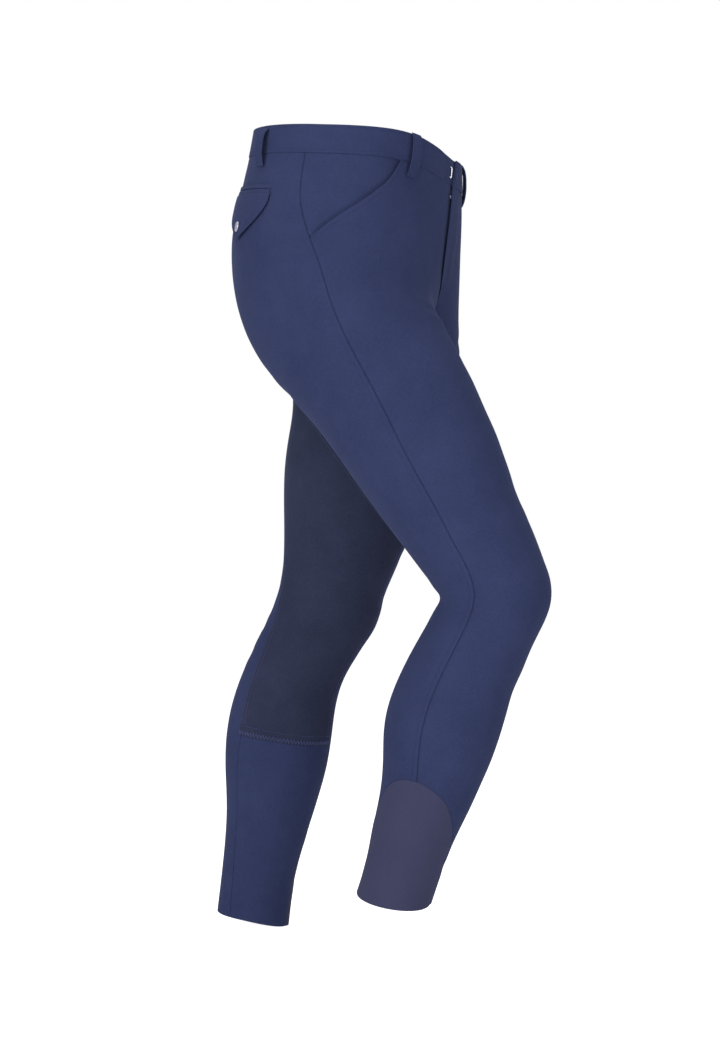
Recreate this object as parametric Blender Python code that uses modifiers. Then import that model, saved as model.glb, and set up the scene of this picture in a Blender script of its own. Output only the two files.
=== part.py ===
"""Riding breeches, filled out and in mid stride, as cut and sewn pieces of cloth.

One surface carries the whole garment. A point on it is named by how far down it lies
along the leg (DOWN, from the waist edge) and by its ANGLE round the body or leg:
0 is the front, 90 the outer side, 180 the back, 270 (or -90) the inner side.
The garment's front faces -Y and the wearer's right is at -X. The origin is the
centre of the waist. Tables are in millimetres and degrees; meshes are in metres.
"""
import bpy
import bmesh
import numpy as np
from mathutils import Matrix, Vector

MM = 0.001

# ---------------------------------------------------------------- driving sizes (mm)
LENGTH = 1002.0          # waist edge to hem, along the leg
BAND_DEPTH = 35.0        # height of the waistband
FORK = 262.0             # waist edge to the fork, where the inseams start
CLOTH = 1.2              # wall of the body cloth
BAND_CLOTH = 3.0         # waistband: two layers and its stiffening
BAND_PROUD = 0.8         # how far the band stands out from the body cloth
SEAM = 0.56              # gap at the outer face of a seam, 0.3 left at the inner face
LIFT = 0.5               # gap under a piece laid on a panel
PATCH_CLOTH = 1.2
FLAP_CLOTH = 1.6
PATCH_TOP = 275.0        # grip patch, from just under the fork to mid calf
PATCH_END = 766.0
ARCH_TOP = 854.0         # top of the stretch insert at the ankle
SLANT_END = 131.0        # where the slant pocket edge meets the side seam
BAND_TIP = -6.0          # the band's left end stops this far short of the middle at its top
BAND_SLANT = 14.0        # and reaches this much further at its bottom
BAND_UNDERLAP = 28.0     # how far the right end carries on beneath it
FLY_END = 193.0          # lower tip of the fly lap
ZIP_TOP = 44.0
ZIP_END = 146.0
HEM_DROP = 8.2          # outer side of the hem is this much longer

# The cut: one row for each level down the leg.
#   down, half depth front to back, outermost x, squareness of the ring
CUT = [
    (0, 127.5, 150, 2.10),
    (36, 131, 155, 2.10),
    (100, 133.5, 167, 2.10),
    (150, 131.5, 174, 2.05),
    (200, 128, 177, 2.00),
    (235, 123, 178, 2.00),
    (262, 117, 177, 2.00),
    (300, 107.1, 176, 2.00),
    (340, 99.2, 175, 2.00),
    (410, 90.8, 171.5, 2.00),
    (457, 84.8, 168, 2.00),
    (510, 76.7, 163, 2.00),
    (560, 68.8, 158, 2.00),
    (610, 67.8, 155, 2.00),
    (660, 63, 150, 2.00),
    (720, 66.8, 149, 2.00),
    (790, 69.3, 147, 2.00),
    (860, 58.3, 139, 2.00),
    (930, 48.9, 130, 2.00),
    (1002, 47.2, 126, 2.00),
]
# down, how far the ring is parted into two legs: 0 is one ring, 1 is the fork
PARTING = [(50, 0.0), (100, 0.09), (150, 0.24), (185, 0.36), (215, 0.53), (240, 0.76), (262, 1.0)]
# down, x of the inner face of the leg
INSIDE = [(262, 0.3), (275, 2.6), (300, 6), (330, 9), (400, 15), (457, 20), (510, 26), (560, 31),
          (610, 33), (660, 34), (720, 33), (790, 31), (860, 33), (930, 37), (1002, 40)]
# The stride, a centre line for each leg: down, y, z, tilt (front edge up is positive)
BACK_LEG = [
    (0, 0, 0, -12), (36, 3, -36, -12), (100, 11.5, -100, -11), (150, 16, -149, -10.5),
    (236, 17.5, -234, -10.5), (300, 15.5, -298, -11), (345, 21, -343, -11), (380, 31, -377, -11.2),
    (424, 42, -420, -11.4), (513, 57, -508, -11.5), (559, 69, -553, -12.6), (591, 78, -583, -15),
    (655, 109.6, -640, -18), (712, 132, -694, -15.7),
    (765, 143, -745.5, -12.4), (818, 149.6, -798, -11.4), (872, 155.8, -851, -11.5),
    (926, 165.4, -905, -11.4), (1002, 176.4, -981, -8),
]
FRONT_LEG = [
    (0, 0, 0, -12), (36, 3, -36, -12), (100, 12, -100, -11), (150, 14, -149, -7.5),
    (205, 4, -200, 1), (262, -25, -251, 12), (300, -50, -283, 19), (356, -83.4, -330, 25),
    (416, -114.6, -381, 28), (457, -135.5, -415.5, 30), (510, -162, -461, 32), (550, -180.5, -495.5, 31),
    (616, -208, -558, 0), (660, -192, -598, -19), (733, -159, -663.5, -17), (804, -135.3, -730, -15.6),
    (871, -118.8, -795, -15.9), (941, -95.8, -861, -14.7), (1002, -75.6, -924.3, -10.5),
]
# angle, how far the waist edge rises above its own plane; the fly's side sags in front
WAIST_RISE = {
    "right": [(0, 4.3), (15, 12.0), (30, 19.6), (60, 18.3), (90, 8), (120, -1.4), (150, -7.5), (180, -8)],
    "left": [(0, 4.3), (15, 2.2), (30, 3.6), (60, 8.5), (90, 6.5), (120, -1.4), (150, -7.5), (180, -8)],
}
# down, how much fuller than the oval the form is in front and behind
FULLER = {
    "right": [
        (0, 0, 0), (50, 0, 0), (72, 0, -1.3), (108, 0, -1.4), (140, 0, 0), (400, 0, 0), (446, 1.1, 0),
        (478, 0, 0), (512, -0.4, 0), (535, 1.6, 0), (549, 2.8, 0), (563, 1.6, 0.3), (590, -1.8, 0.8),
        (604, -0.4, 1.3), (618, 0.1, 1.1), (645, -1.1, 0), (687, 1.5, 0), (725, -0.9, 0), (760, 0.2, 0.3),
        (813, 1.5, 1.1), (850, 0.7, 0.4), (900, 0.5, 0.9), (922, 0.4, 1.1), (968, 0.2, -1.8), (985, 0, -1.8),
        (1002, -0.5, -0.9),
    ],
    "left": [
        (0, 0, 0), (50, 0, 0), (72, 0, -1.3), (108, 0, -1.4), (140, 0, 0), (490, 0, 0), (507, -1.9, 0),
        (558, -1.9, 0), (577, -0.4, -0.3), (592, -0.6, -0.8), (622, -2.5, -2.1), (645, -0.8, -1.2),
        (665, 0, -0.4), (740, 0, -0.9), (765, -0.3, -1.4), (798, -0.6, -1.8), (835, -1.1, -1.2),
        (870, -1.0, -0.8), (900, 0, -0.5), (1002, 0, 0),
    ],
}
# down, angle of the side seam
SIDE_SEAM = [(0, 94.5), (40, 93.6), (95, 90.7), (131, 84.2), (155, 79.6), (193, 76.6), (230, 77.3),
             (293, 82.1), (379, 87.1), (462, 90.5), (541, 92.2), (584, 94.2), (619, 96.4), (664, 94.8),
             (712, 94.9), (790, 94.7), (832, 91.5), (854, 89), (1002, 89)]
# down, how far the inseam lies behind the innermost line
INSEAM = [(262, 0), (330, 8), (420, 16), (520, 22), (600, 24), (707, 25), (762, 27), (800, 29), (880, 28),
          (955, 23), (1002, 20)]
# down, angle of the slant pocket's edge
SLANT = [(35, 42.3), (58, 47.3), (80, 57.3), (102, 70.2), (116, 77.4), (131, 84.2)]
# down, from the middle to the fly's stitched line, lap past the middle, height over the front
FLY = [(35, 30, 8, 3.0), (58, 30, 11, 3.0), (131, 30, 14, 2.9), (150, 25, 9, 2.4), (172, 12, -0.4, 1.9),
       (200, 0.3, -0.4, 0.2)]
# down, angle of the front and of the back edge of the ankle insert
ARCH = [(854, 89, 89), (860, 64.5, 114.5), (866, 53.5, 124), (880, 37.5, 138), (895, 25, 148), (912, 11, 160),
        (930, 0, 173), (965, -3, 180), (1002, -4, 182)]
# down, reach of the grip patch forward and backward of the innermost line
PATCH = [(262, 60, 75), (330, 72, 75), (420, 84, 73), (490, 88, 66), (566, 88, 54), (620, 88, 41),
         (663, 88, 34), (707, 88, 32), (766, 88, 31.5)]
PATCH_TURN = {"left": 0.0, "right": 28.0}     # the patch is turned back this far, as its leg is turned out
# down, angle of the column line that carries on below the patch on the front
FRONT_INNER_LINE = [(766, -2), (805, -18), (851, -36), (930, -56), (1002, -60)]
BACK_INNER_LINE = [(766, 238.5), (805, 224), (851, 208), (930, 212), (1002, 216)]

ROWS = [BAND_DEPTH, 58, 80, 102, SLANT_END, 150, 172, 200, 225, 245, 257, FORK, PATCH_TOP, 305, 340, 380,
        425, 470, 515, 555, 590, 620, 650, 685, 722, PATCH_END, 805, ARCH_TOP, 860, 866, 880, 895, 912,
        930, 965, LENGTH]
COLUMNS = {"front": (4, 5), "back": (5, 4)}     # columns on either side of the patch line

LEG_SWING = 110.0        # below the fork, the length over which the inner thigh joins the stride
HIP_REACH = 95.0         # distance from the middle over which the hip joins the stride


# ------------------------------------------------------------------------ the surface
def columns_of(table, j):
    return [row[0] for row in table], [row[j] for row in table]


def flowing(table, j):
    """A natural cubic through column j of a table."""
    xs, ys = (np.array(c, float) for c in columns_of(table, j))
    n, h = len(xs), np.diff(xs)
    a, r = np.eye(n), np.zeros(n)
    for i in range(1, n - 1):
        a[i, i - 1:i + 2] = h[i - 1], 2 * (h[i - 1] + h[i]), h[i]
        r[i] = 3 * ((ys[i + 1] - ys[i]) / h[i] - (ys[i] - ys[i - 1]) / h[i - 1])
    c = np.linalg.solve(a, r)

    def at(x):
        i = np.clip(np.searchsorted(xs, x, side="right") - 1, 0, n - 2)
        d = x - xs[i]
        b = (ys[i + 1] - ys[i]) / h[i] - h[i] * (2 * c[i] + c[i + 1]) / 3
        return ys[i] + b * d + c[i] * d * d + (c[i + 1] - c[i]) / (3 * h[i]) * d ** 3
    return at


def straight(table, j):
    """Straight lines through column j of a table."""
    xs, ys = columns_of(table, j)
    return lambda x: np.interp(x, xs, ys)


def easing(x):
    x = np.clip(x, 0.0, 1.0)
    return x * x * (3 - 2 * x)


half_depth, outermost, squareness = (flowing(CUT, j) for j in (1, 2, 3))
parting, inside = straight(PARTING, 1), straight(INSIDE, 1)
side_seam, inseam = flowing(SIDE_SEAM, 1), straight(INSEAM, 1)
fuller = {side: [straight(table, j) for j in (1, 2)] for side, table in FULLER.items()}
waist_rise = {side: flowing(table, 1) for side, table in WAIST_RISE.items()}
LINES = {"left": [flowing(BACK_LEG, j) for j in (1, 2, 3)],
         "right": [flowing(FRONT_LEG, j) for j in (1, 2, 3)]}
OUT = {"left": 1.0, "right": -1.0}


def ring(down):
    """Half width, centre x, half depth and squareness of the ring at a level."""
    out = outermost(down)
    part = parting(down)
    inner = np.where(down < FORK, -out * (1 - part) / (1 + part), inside(down))
    return (out - inner) / 2, (out + inner) / 2, half_depth(down), squareness(down)


def first_angle(down):
    """Angle of the centre front seam, and of the inseam below the fork."""
    half, centre, _, square = ring(down)
    cut = np.clip((centre - SEAM / 2) / half, -1, 1)
    turn = np.arcsin(np.sign(cut) * np.abs(cut) ** (square / 2))
    return np.where(down < FORK, -np.degrees(turn), -90 - inseam(down))


def last_angle(down):
    """Angle of the centre back seam, and of the inseam below the fork."""
    return np.where(down < FORK, 180 - first_angle(down), 270 - inseam(down))


def on_line(side, down, angle, line):
    """Points of the rings strung on one leg's centre line, for the left half."""
    half, centre, depth, square = ring(down)
    turn = np.radians(angle)
    s, c = np.sin(turn), np.cos(turn)
    across = centre + half * np.sign(s) * np.abs(s) ** (2 / square)
    ahead = depth * np.sign(c) * np.abs(c) ** (2 / square)
    in_front, behind = (extra(down) for extra in fuller[side])
    ahead = ahead + np.where(c > 0, in_front, -behind) * c * c
    tilt = np.radians(line[2](down))
    rise = waist_rise[side](np.clip(angle, 0, 180)) * (1 - easing((down - BAND_DEPTH) / 150))
    drop = HEM_DROP * easing((down - 925) / (LENGTH - 925)) * np.clip(s, 0, 1) ** 0.7
    y = line[0](down) - ahead * np.cos(tilt)
    z = line[1](down) + ahead * np.sin(tilt) + rise - drop
    return across, y, z


def surface(side, down, angle):
    """Points of the garment, in millimetres. Above the fork the middle stays put, and each
    thigh swings with its own leg."""
    down, angle = np.broadcast_arrays(np.asarray(down, float), np.asarray(angle, float))
    x, y, z = on_line(side, down, angle, LINES["left"])
    if side == "right":
        _, y2, z2 = on_line(side, down, angle, LINES["right"])
        free = easing((down - FORK) / LEG_SWING)
        swing = 1 - (1 - free) * (1 - easing(np.abs(x) / HIP_REACH))
        y, z = y + swing * (y2 - y), z + swing * (z2 - z)
    return np.stack([OUT[side] * x, y, z], -1)


def outward(side, down, angle):
    """Unit normals of the garment's surface."""
    step = 0.5
    along = surface(side, down + step, angle) - surface(side, down - step, angle)
    around = surface(side, down, angle + step) - surface(side, down, angle - step)
    normal = np.cross(along, around) * OUT[side]
    return normal / np.linalg.norm(normal, axis=-1, keepdims=True)


def raised(side, down, angle, lift):
    """Points moved out from the surface by a lift in millimetres."""
    down, angle = np.broadcast_arrays(np.asarray(down, float), np.asarray(angle, float))
    return surface(side, down, angle) + outward(side, down, angle) * np.asarray(lift)[..., None]


def radius(down, angle):
    """Millimetres of cloth for each radian of angle."""
    half, _, depth, _ = ring(down)
    turn = np.radians(angle)
    return np.hypot(half * np.cos(turn), depth * np.sin(turn))


def past_middle(side, down, x):
    """Points and normals on the front, at a distance x from the middle; a negative x is past it."""
    start, past = first_angle(down), (np.asarray(x) < 0)[..., None]
    angle = start + np.degrees((np.abs(x) - SEAM / 2) / radius(down, start))
    other = "left" if side == "right" else "right"
    return (np.where(past, surface(other, down, angle), surface(side, down, angle)),
            np.where(past, outward(other, down, angle), outward(side, down, angle)))


# ---------------------------------------------------------------------- making cloth
def material(name, colour, roughness=0.8, metallic=0.0):
    made = bpy.data.materials.new(name)
    made.use_nodes = True
    shader = made.node_tree.nodes["Principled BSDF"]
    shader.inputs["Base Color"].default_value = (*colour, 1.0)
    shader.inputs["Roughness"].default_value = roughness
    shader.inputs["Metallic"].default_value = metallic
    return made


def add_object(name, mesh, finish):
    made = bpy.data.objects.new(name, mesh)
    mesh.materials.append(finish)
    parts.objects.link(made)
    return made


def loft(points, inside_out):
    """A mesh of triangles through a grid of points (millimetres, rows by columns)."""
    rows, cols = points.shape[:2]
    corner = lambda r, c: r * cols + c
    faces = []
    for r in range(rows - 1):
        for c in range(cols - 1):
            a, b, d, e = corner(r, c), corner(r + 1, c), corner(r + 1, c + 1), corner(r, c + 1)
            faces += [(a, b, d), (a, d, e)]
    if inside_out:
        faces = [face[::-1] for face in faces]
    mesh = bpy.data.meshes.new("loft")
    mesh.from_pydata((points.reshape(-1, 3) * MM).tolist(), [], faces)
    return mesh


def cloth(name, side, points, thickness, grow, finish):
    """A cloth piece: a lofted surface given its wall, inward (-1) or outward (+1)."""
    made = add_object(name, loft(points, side == "right"), finish)
    made.data.name = name
    wall = made.modifiers.new("wall", "SOLIDIFY")
    wall.thickness = thickness * MM
    wall.offset = grow
    return made


def seam_shift(side, edge, down):
    """Degrees that an edge steps back to leave half of a seam's gap square to the seam."""
    along = surface(side, down + 3, edge(down + 3)) - surface(side, down - 3, edge(down - 3))
    around = surface(side, down, edge(down) + 0.5) - surface(side, down, edge(down) - 0.5)
    square = np.linalg.norm(np.cross(along, around), axis=-1) / np.linalg.norm(along, axis=-1)
    return SEAM / 2 / square


def front_edge(down):
    """Outer edge of the front: pocket slant, side seam, then the front of the ankle arch."""
    slant, arch = straight(SLANT, 1)(down), straight(ARCH, 1)(down)
    return np.where(down < SLANT_END, slant, np.where(down > ARCH_TOP, arch, side_seam(down)))


def back_edge(down):
    """Outer edge of the back: side seam, then the back of the ankle arch."""
    return np.where(down > ARCH_TOP, straight(ARCH, 2)(down), side_seam(down))


def patch_turn(side, down):
    """How far the patch is turned; it comes back in line at the fork and below the patch."""
    fork, calf = easing((down - FORK) / 90), 1 - easing((down - PATCH_END) / 85)
    return PATCH_TURN[side] * fork * calf


def patch_front_line(side, down):
    first, edge = first_angle(down), front_edge(down)
    on_leg = np.where(down > PATCH_END, straight(FRONT_INNER_LINE, 1)(down),
                      -90 + straight(PATCH, 1)(down))
    return np.where(down < FORK, first + 0.35 * (edge - first), on_leg - patch_turn(side, down))


def patch_back_line(side, down):
    last, edge = last_angle(down), back_edge(down)
    on_leg = np.where(down > PATCH_END, straight(BACK_INNER_LINE, 1)(down),
                      270 - straight(PATCH, 2)(down))
    return np.where(down < FORK, last - 0.4 * (last - edge), on_leg - patch_turn(side, down))


def spread(lines, counts):
    """Columns of angles between neighbouring lines."""
    cols = [lines[0][:, None]]
    for a, b, n in zip(lines, lines[1:], counts):
        cols.append(a[:, None] + (b - a)[:, None] * (np.arange(1, n + 1) / n)[None, :])
    return np.hstack(cols)


def inseam_gap(side, down):
    """Half a seam along the inseam, and a little more where the cloth turns under the fork.
    Above the fork the middle plane already leaves it."""
    gap = seam_shift(side, lambda d: -90 - inseam(np.maximum(d, FORK)), down)
    return np.where(down < FORK, 0, gap * np.where(down < FORK + LEG_SWING, 1.3, 1.0))


def front_grid(side, down):
    edge = front_edge(down) - seam_shift(side, front_edge, down)
    lines = [first_angle(down) + inseam_gap(side, down), patch_front_line(side, down), edge]
    return spread(lines, COLUMNS["front"])


def back_grid(side, down):
    edge = back_edge(down) + seam_shift(side, back_edge, down)
    lines = [edge, patch_back_line(side, down), last_angle(down) - inseam_gap(side, down)]
    return spread(lines, COLUMNS["back"])


def panel_rows(*last):
    """The panels' levels, from half a seam below the band, down to a last one if it is given."""
    rows = [BAND_DEPTH + SEAM / 2] + [row for row in ROWS[1:] if not last or row < last[0]]
    return np.array(rows + list(last), float)


def fronts():
    """Fronts, cut away along the slant pocket; the left one stops at the fly's stitched line."""
    down = panel_rows()
    for side in ("right", "left"):
        angles = front_grid(side, down)
        if side == "left":
            fly_line = straight(FLY, 1)(down)
            shift = np.degrees(np.maximum(fly_line - SEAM / 2, 0) / radius(down, angles[:, 0]))
            lines = [angles[:, 0] + shift, angles[:, COLUMNS["front"][0]], angles[:, -1]]
            angles = spread(lines, COLUMNS["front"])
        points = surface(side, down[:, None], angles)
        cloth("front_" + side, side, points, CLOTH, -1, NAVY)


def backs():
    down = panel_rows()
    for side in ("right", "left"):
        points = surface(side, down[:, None], back_grid(side, down))
        cloth("back_" + side, side, points, CLOTH, -1, NAVY)


def pocket_facings():
    """The cloth seen behind each slant pocket, from the slant edge to the side seam."""
    down = panel_rows(SLANT_END - 7)
    for side in ("right", "left"):
        first = front_edge(down) + seam_shift(side, front_edge, down)
        last = side_seam(down) - seam_shift(side, side_seam, down)
        points = surface(side, down[:, None], spread([first, last], [4]))
        cloth("pocket_facing_" + side, side, points, CLOTH, -1, NAVY_LIGHT)


def ankle_inserts():
    """Stretch inserts, arched at the top, over the outer half of each ankle."""
    down = np.array([row[0] for row in ARCH], float)
    down[0] = ARCH_TOP + 4.4                     # the arch's apex is a short level edge
    ease = np.interp(down, [ARCH_TOP + 12, ARCH_TOP + 60], [4.2, 1.3])
    for side in ("right", "left"):
        first = front_edge(down) + ease * seam_shift(side, front_edge, down)
        last = back_edge(down) - ease * seam_shift(side, back_edge, down)
        points = surface(side, down[:, None], spread([first, last], [7]))
        cloth("ankle_insert_" + side, side, points, CLOTH, -1, STRETCH)


def grip_patches():
    """Suede patches over the inner knee and thigh, made from the panels' own points."""
    down = np.array([d for d in ROWS if PATCH_TOP <= d <= PATCH_END], float)
    n_front, n_back = COLUMNS["front"][0], COLUMNS["back"][0]
    for side in ("right", "left"):
        back, front = back_grid(side, down)[:, n_back:], front_grid(side, down)[:, :n_front + 1]
        angles = np.hstack([back - 360, front])
        points = raised(side, down[:, None], angles, LIFT)
        cloth("grip_patch_" + side, side, points, PATCH_CLOTH, 1, SUEDE)


def waistband():
    """Two halves, joined at the centre back; the left end laps over the right in front."""
    down = np.array([0, BAND_DEPTH / 2, BAND_DEPTH - SEAM / 2])
    lap_from, step = 50.0, 6.0                   # the lap bends away at this distance from the middle
    rise, sink, tip_sink = 1.8, 1.6, 0.6         # left end out, right end in, right tip further in
    for side in ("left", "right"):
        start = first_angle(down) + np.degrees((lap_from + step) / radius(down, 0.0))
        angles = spread([start, last_angle(down)], [14])
        body = raised(side, down[:, None], angles, np.full(angles.shape, BAND_PROUD))
        slanted = BAND_TIP + BAND_SLANT * down / BAND_DEPTH
        tips = slanted if side == "left" else np.full(len(down), BAND_UNDERLAP)
        x = lap_from - (lap_from + tips[:, None]) * np.linspace(0, 1, 9)[None, :]
        if side == "left":
            lift = BAND_PROUD + rise * easing((lap_from - x) / 30)
        else:
            lift = BAND_PROUD - sink * easing((lap_from - step - x) / 26)
            lift = lift - tip_sink * easing(-x / BAND_UNDERLAP)
        point, normal = past_middle(side, np.broadcast_to(down[:, None], x.shape), x)
        lap = point + normal * lift[..., None]
        cloth("waistband_" + side, side, np.concatenate([lap[:, ::-1], body], 1), BAND_CLOTH, -1, NAVY)


def fly():
    """The lapped edge of the left front, which stands over the zip, and the zip's tape."""
    down = panel_rows(FLY_END)
    width, lap, height = (straight(FLY, j)(down)[:, None] for j in (1, 2, 3))
    width = width - SEAM * 0.8
    x = width - (width + lap) * np.linspace(0, 1, 7)[None, :]
    lift = height * easing((width - x) / 20)
    point, normal = past_middle("left", np.broadcast_to(down[:, None], x.shape), x)
    cloth("fly_left", "left", (point + normal * lift[..., None])[:, ::-1], CLOTH, -1, NAVY)

    tape, tape_edge, under = 0.8, (11.0, 5.0, 0.0, -5.0, -9.0), CLOTH + 0.4
    down = np.array([ZIP_TOP] + [row for row in ROWS if ZIP_TOP < row < ZIP_END] + [ZIP_END])
    x = np.broadcast_to(np.array(tape_edge)[None, :], (len(down), len(tape_edge)))
    point, normal = past_middle("left", np.broadcast_to(down[:, None], x.shape), x)
    cloth("zip_tape", "left", (point - normal * under)[:, ::-1], tape, -1, TAPE)


def placing(point, along, out, lift):
    """A matrix with its z outward, its y down the cloth, and its x round towards the back."""
    along = along - out * np.dot(along, out)
    along /= np.linalg.norm(along)
    across = np.cross(along, out)
    place = (point + out * lift) * MM
    return Matrix([[across[i], along[i], out[i], place[i]] for i in range(3)] + [[0, 0, 0, 1]])


def placed_at(side, down, angle, lift):
    along = surface(side, down + 1, angle) - surface(side, down - 1, angle)
    return placing(surface(side, down, angle), along, outward(side, down, angle), lift)


def placed_in_front(side, down, x, lift):
    point, out = past_middle(side, down, x)
    along = past_middle(side, down + 1.0, x)[0] - past_middle(side, down - 1.0, x)[0]
    return placing(point, along, out, lift)


def block(name, size, matrix, finish, bevel):
    """A small metal block with rounded edges, its base on the placing matrix."""
    mesh = bpy.data.meshes.new(name)
    shape = bmesh.new()
    bmesh.ops.create_cube(shape, size=1.0)
    bmesh.ops.scale(shape, vec=Vector(size) * MM, verts=shape.verts)
    bmesh.ops.translate(shape, vec=(0, 0, size[2] / 2 * MM), verts=shape.verts)
    bmesh.ops.bevel(shape, geom=shape.edges[:], offset=bevel * MM, segments=2, affect="EDGES")
    bmesh.ops.transform(shape, matrix=matrix, verts=shape.verts)
    shape.to_mesh(mesh)
    shape.free()
    return add_object(name, mesh, finish)


def join(target, other):
    """A Boolean union that takes the other object into the target."""
    union = target.modifiers.new("union", "BOOLEAN")
    union.operation = "UNION"
    union.solver = "EXACT"
    union.object = other
    parts.objects.unlink(other)
    cutters.objects.link(other)
    other.hide_render = True
    other.display_type = "WIRE"


def zip_slider():
    """Slider under the fly, its pull tab lying across with its tip just outside the lap."""
    down, body_x, tab_x = 47.5, 5.5, -3.5
    body = block("zip_slider", (7.0, 11.0, 2.6), placed_in_front("left", down, body_x, -1.0), METAL, 0.6)
    tab = block("zip_tab", (22.0, 4.2, 0.9), placed_in_front("left", down, tab_x, 0.4), METAL, 0.3)
    join(body, tab)


def waist_fastener():
    """The bar on the right end of the band, a bent wire with its feet in the cloth."""
    reach, half, corner, thickness = 4.5, 6.6, 1.2, 1.6
    bend = [(reach, -half), (corner, -half), (0, corner - half)]
    curve = bpy.data.curves.new("waist_bar", "CURVE")
    curve.dimensions = "3D"
    curve.bevel_depth = thickness / 2 * MM
    curve.bevel_resolution = 2
    curve.use_fill_caps = True
    run = curve.splines.new("POLY")
    run.points.add(2 * len(bend) - 1)
    for spot, (x, y) in zip(run.points, bend + [(x, -y) for x, y in bend[::-1]]):
        spot.co = (x * MM, y * MM, 0, 1)
    made = add_object("waist_bar", curve, METAL)
    made.matrix_world = placed_in_front("right", BAND_DEPTH / 2 + 2.0, 9.5, 0.9)


def belt_loops():
    """Four loops of folded cloth, each caught above and below the waistband."""
    width, thick = 14.5, 1.6
    # down, how far the inner face stands off the surface
    front = [(-0.5, 1.3), (3, 3.6), (9, 5.6), (18, 6.4), (28, 6.4), (37, 5.7), (44, 4.2), (49, 2.2), (52.5, 0.6)]
    back = [(4.5, 1.3), (8, 4.2), (13, 6.6), (20, 7.8), (29, 7.8), (38, 6.6), (45, 4.4), (49.5, 2.0), (52, 0.6)]
    # name, how it bows, angle at the top, angle at the bottom
    places = [("front", front, 34.0, 36.0), ("back", back, 124.0, 122.2)]
    for place, profile, top, bottom in places:
        down, lift = (np.array(column, float) for column in columns_of(profile, 1))
        for side in ("right", "left"):
            centre = top + (bottom - top) * down / down[-1]
            half = np.degrees(width / 2 / radius(down, centre))
            angles = spread([centre - half, centre + half], [3])
            points = raised(side, down[:, None], angles, np.broadcast_to(lift[:, None], angles.shape))
            cloth("belt_loop_%s_%s" % (place, side), side, points, thick, 1, NAVY_LIGHT)


def back_pockets():
    """A welt and a pointed flap on each back, closed by a snap near the point."""
    centre, half = 132.5, 23.0                   # angles
    welt_top, welt_end, flap_top = 73.5, 78.5, 79.5
    side_length, tip_length = 11.0, 59.5         # the flap, down its sides and at its tip
    curl = 2.6                                   # how far the tip stands off
    snap_down = 125.0
    across = np.sin(np.linspace(-0.5, 0.5, 13) * np.pi)
    for side in ("right", "left"):
        down = np.linspace(welt_top, welt_end, 3)[:, None]
        points = raised(side, down, centre + half * across[None, :], np.full((3, 13), LIFT))
        cloth("pocket_welt_" + side, side, points, 1.0, 1, NAVY_LIGHT)

        length = side_length + (tip_length - side_length) * (1 - np.abs(across)) ** 0.57
        part = np.linspace(0, 1, 5)[:, None]
        lift = LIFT + 0.3 + curl * part ** 2 * (length / tip_length)[None, :]
        points = raised(side, flap_top + part * length[None, :], centre + half * across[None, :], lift)
        cloth("pocket_flap_" + side, side, points, FLAP_CLOTH, 1, NAVY)

        under = LIFT + 0.3 + curl * ((snap_down - flap_top) / tip_length) ** 2
        snap(side, placed_at(side, snap_down, centre, under + FLAP_CLOTH + 0.4))


def snap(side, place):
    """A domed snap cap, turned about the outward direction."""
    # radius, height
    profile = [(0, 2.4), (2.6, 2.2), (4.9, 1.7), (6.3, 1.0), (7.0, 0.15), (6.7, 0), (0, 0)]
    name = "snap_" + side
    mesh = bpy.data.meshes.new(name)
    verts = [(r * MM, 0, h * MM) for r, h in profile]
    mesh.from_pydata(verts, [(i, i + 1) for i in range(len(verts) - 1)], [])
    made = add_object(name, mesh, METAL)
    turn = made.modifiers.new("turn", "SCREW")
    turn.steps = turn.render_steps = 16
    turn.use_merge_vertices = True
    turn.merge_threshold = 0.00002
    made.matrix_world = place


# --------------------------------------------------------------------------- building
for old in list(bpy.data.objects):
    bpy.data.objects.remove(old)
parts = bpy.data.collections.new("riding_breeches")
cutters = bpy.data.collections.new("joined_shapes")
bpy.context.scene.collection.children.link(parts)
bpy.context.scene.collection.children.link(cutters)

NAVY = material("navy_twill", (0.040, 0.050, 0.125))
NAVY_LIGHT = material("navy_twill_lit", (0.048, 0.060, 0.145))
SUEDE = material("navy_suede", (0.025, 0.030, 0.070), 0.95)
STRETCH = material("plum_stretch", (0.060, 0.056, 0.115), 0.85)
TAPE = material("zip_tape_navy", (0.020, 0.024, 0.060), 0.9)
METAL = material("nickel", (0.62, 0.62, 0.64), 0.3, 1.0)

fronts()
backs()
pocket_facings()
ankle_inserts()
grip_patches()
waistband()
fly()
zip_slider()
waist_fastener()
belt_loops()
back_pockets()
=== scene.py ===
"""Riding breeches, filled out and in mid stride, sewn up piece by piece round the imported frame."""
import math

import bpy
import bmesh
import numpy as np
from mathutils import Matrix, Vector


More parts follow.
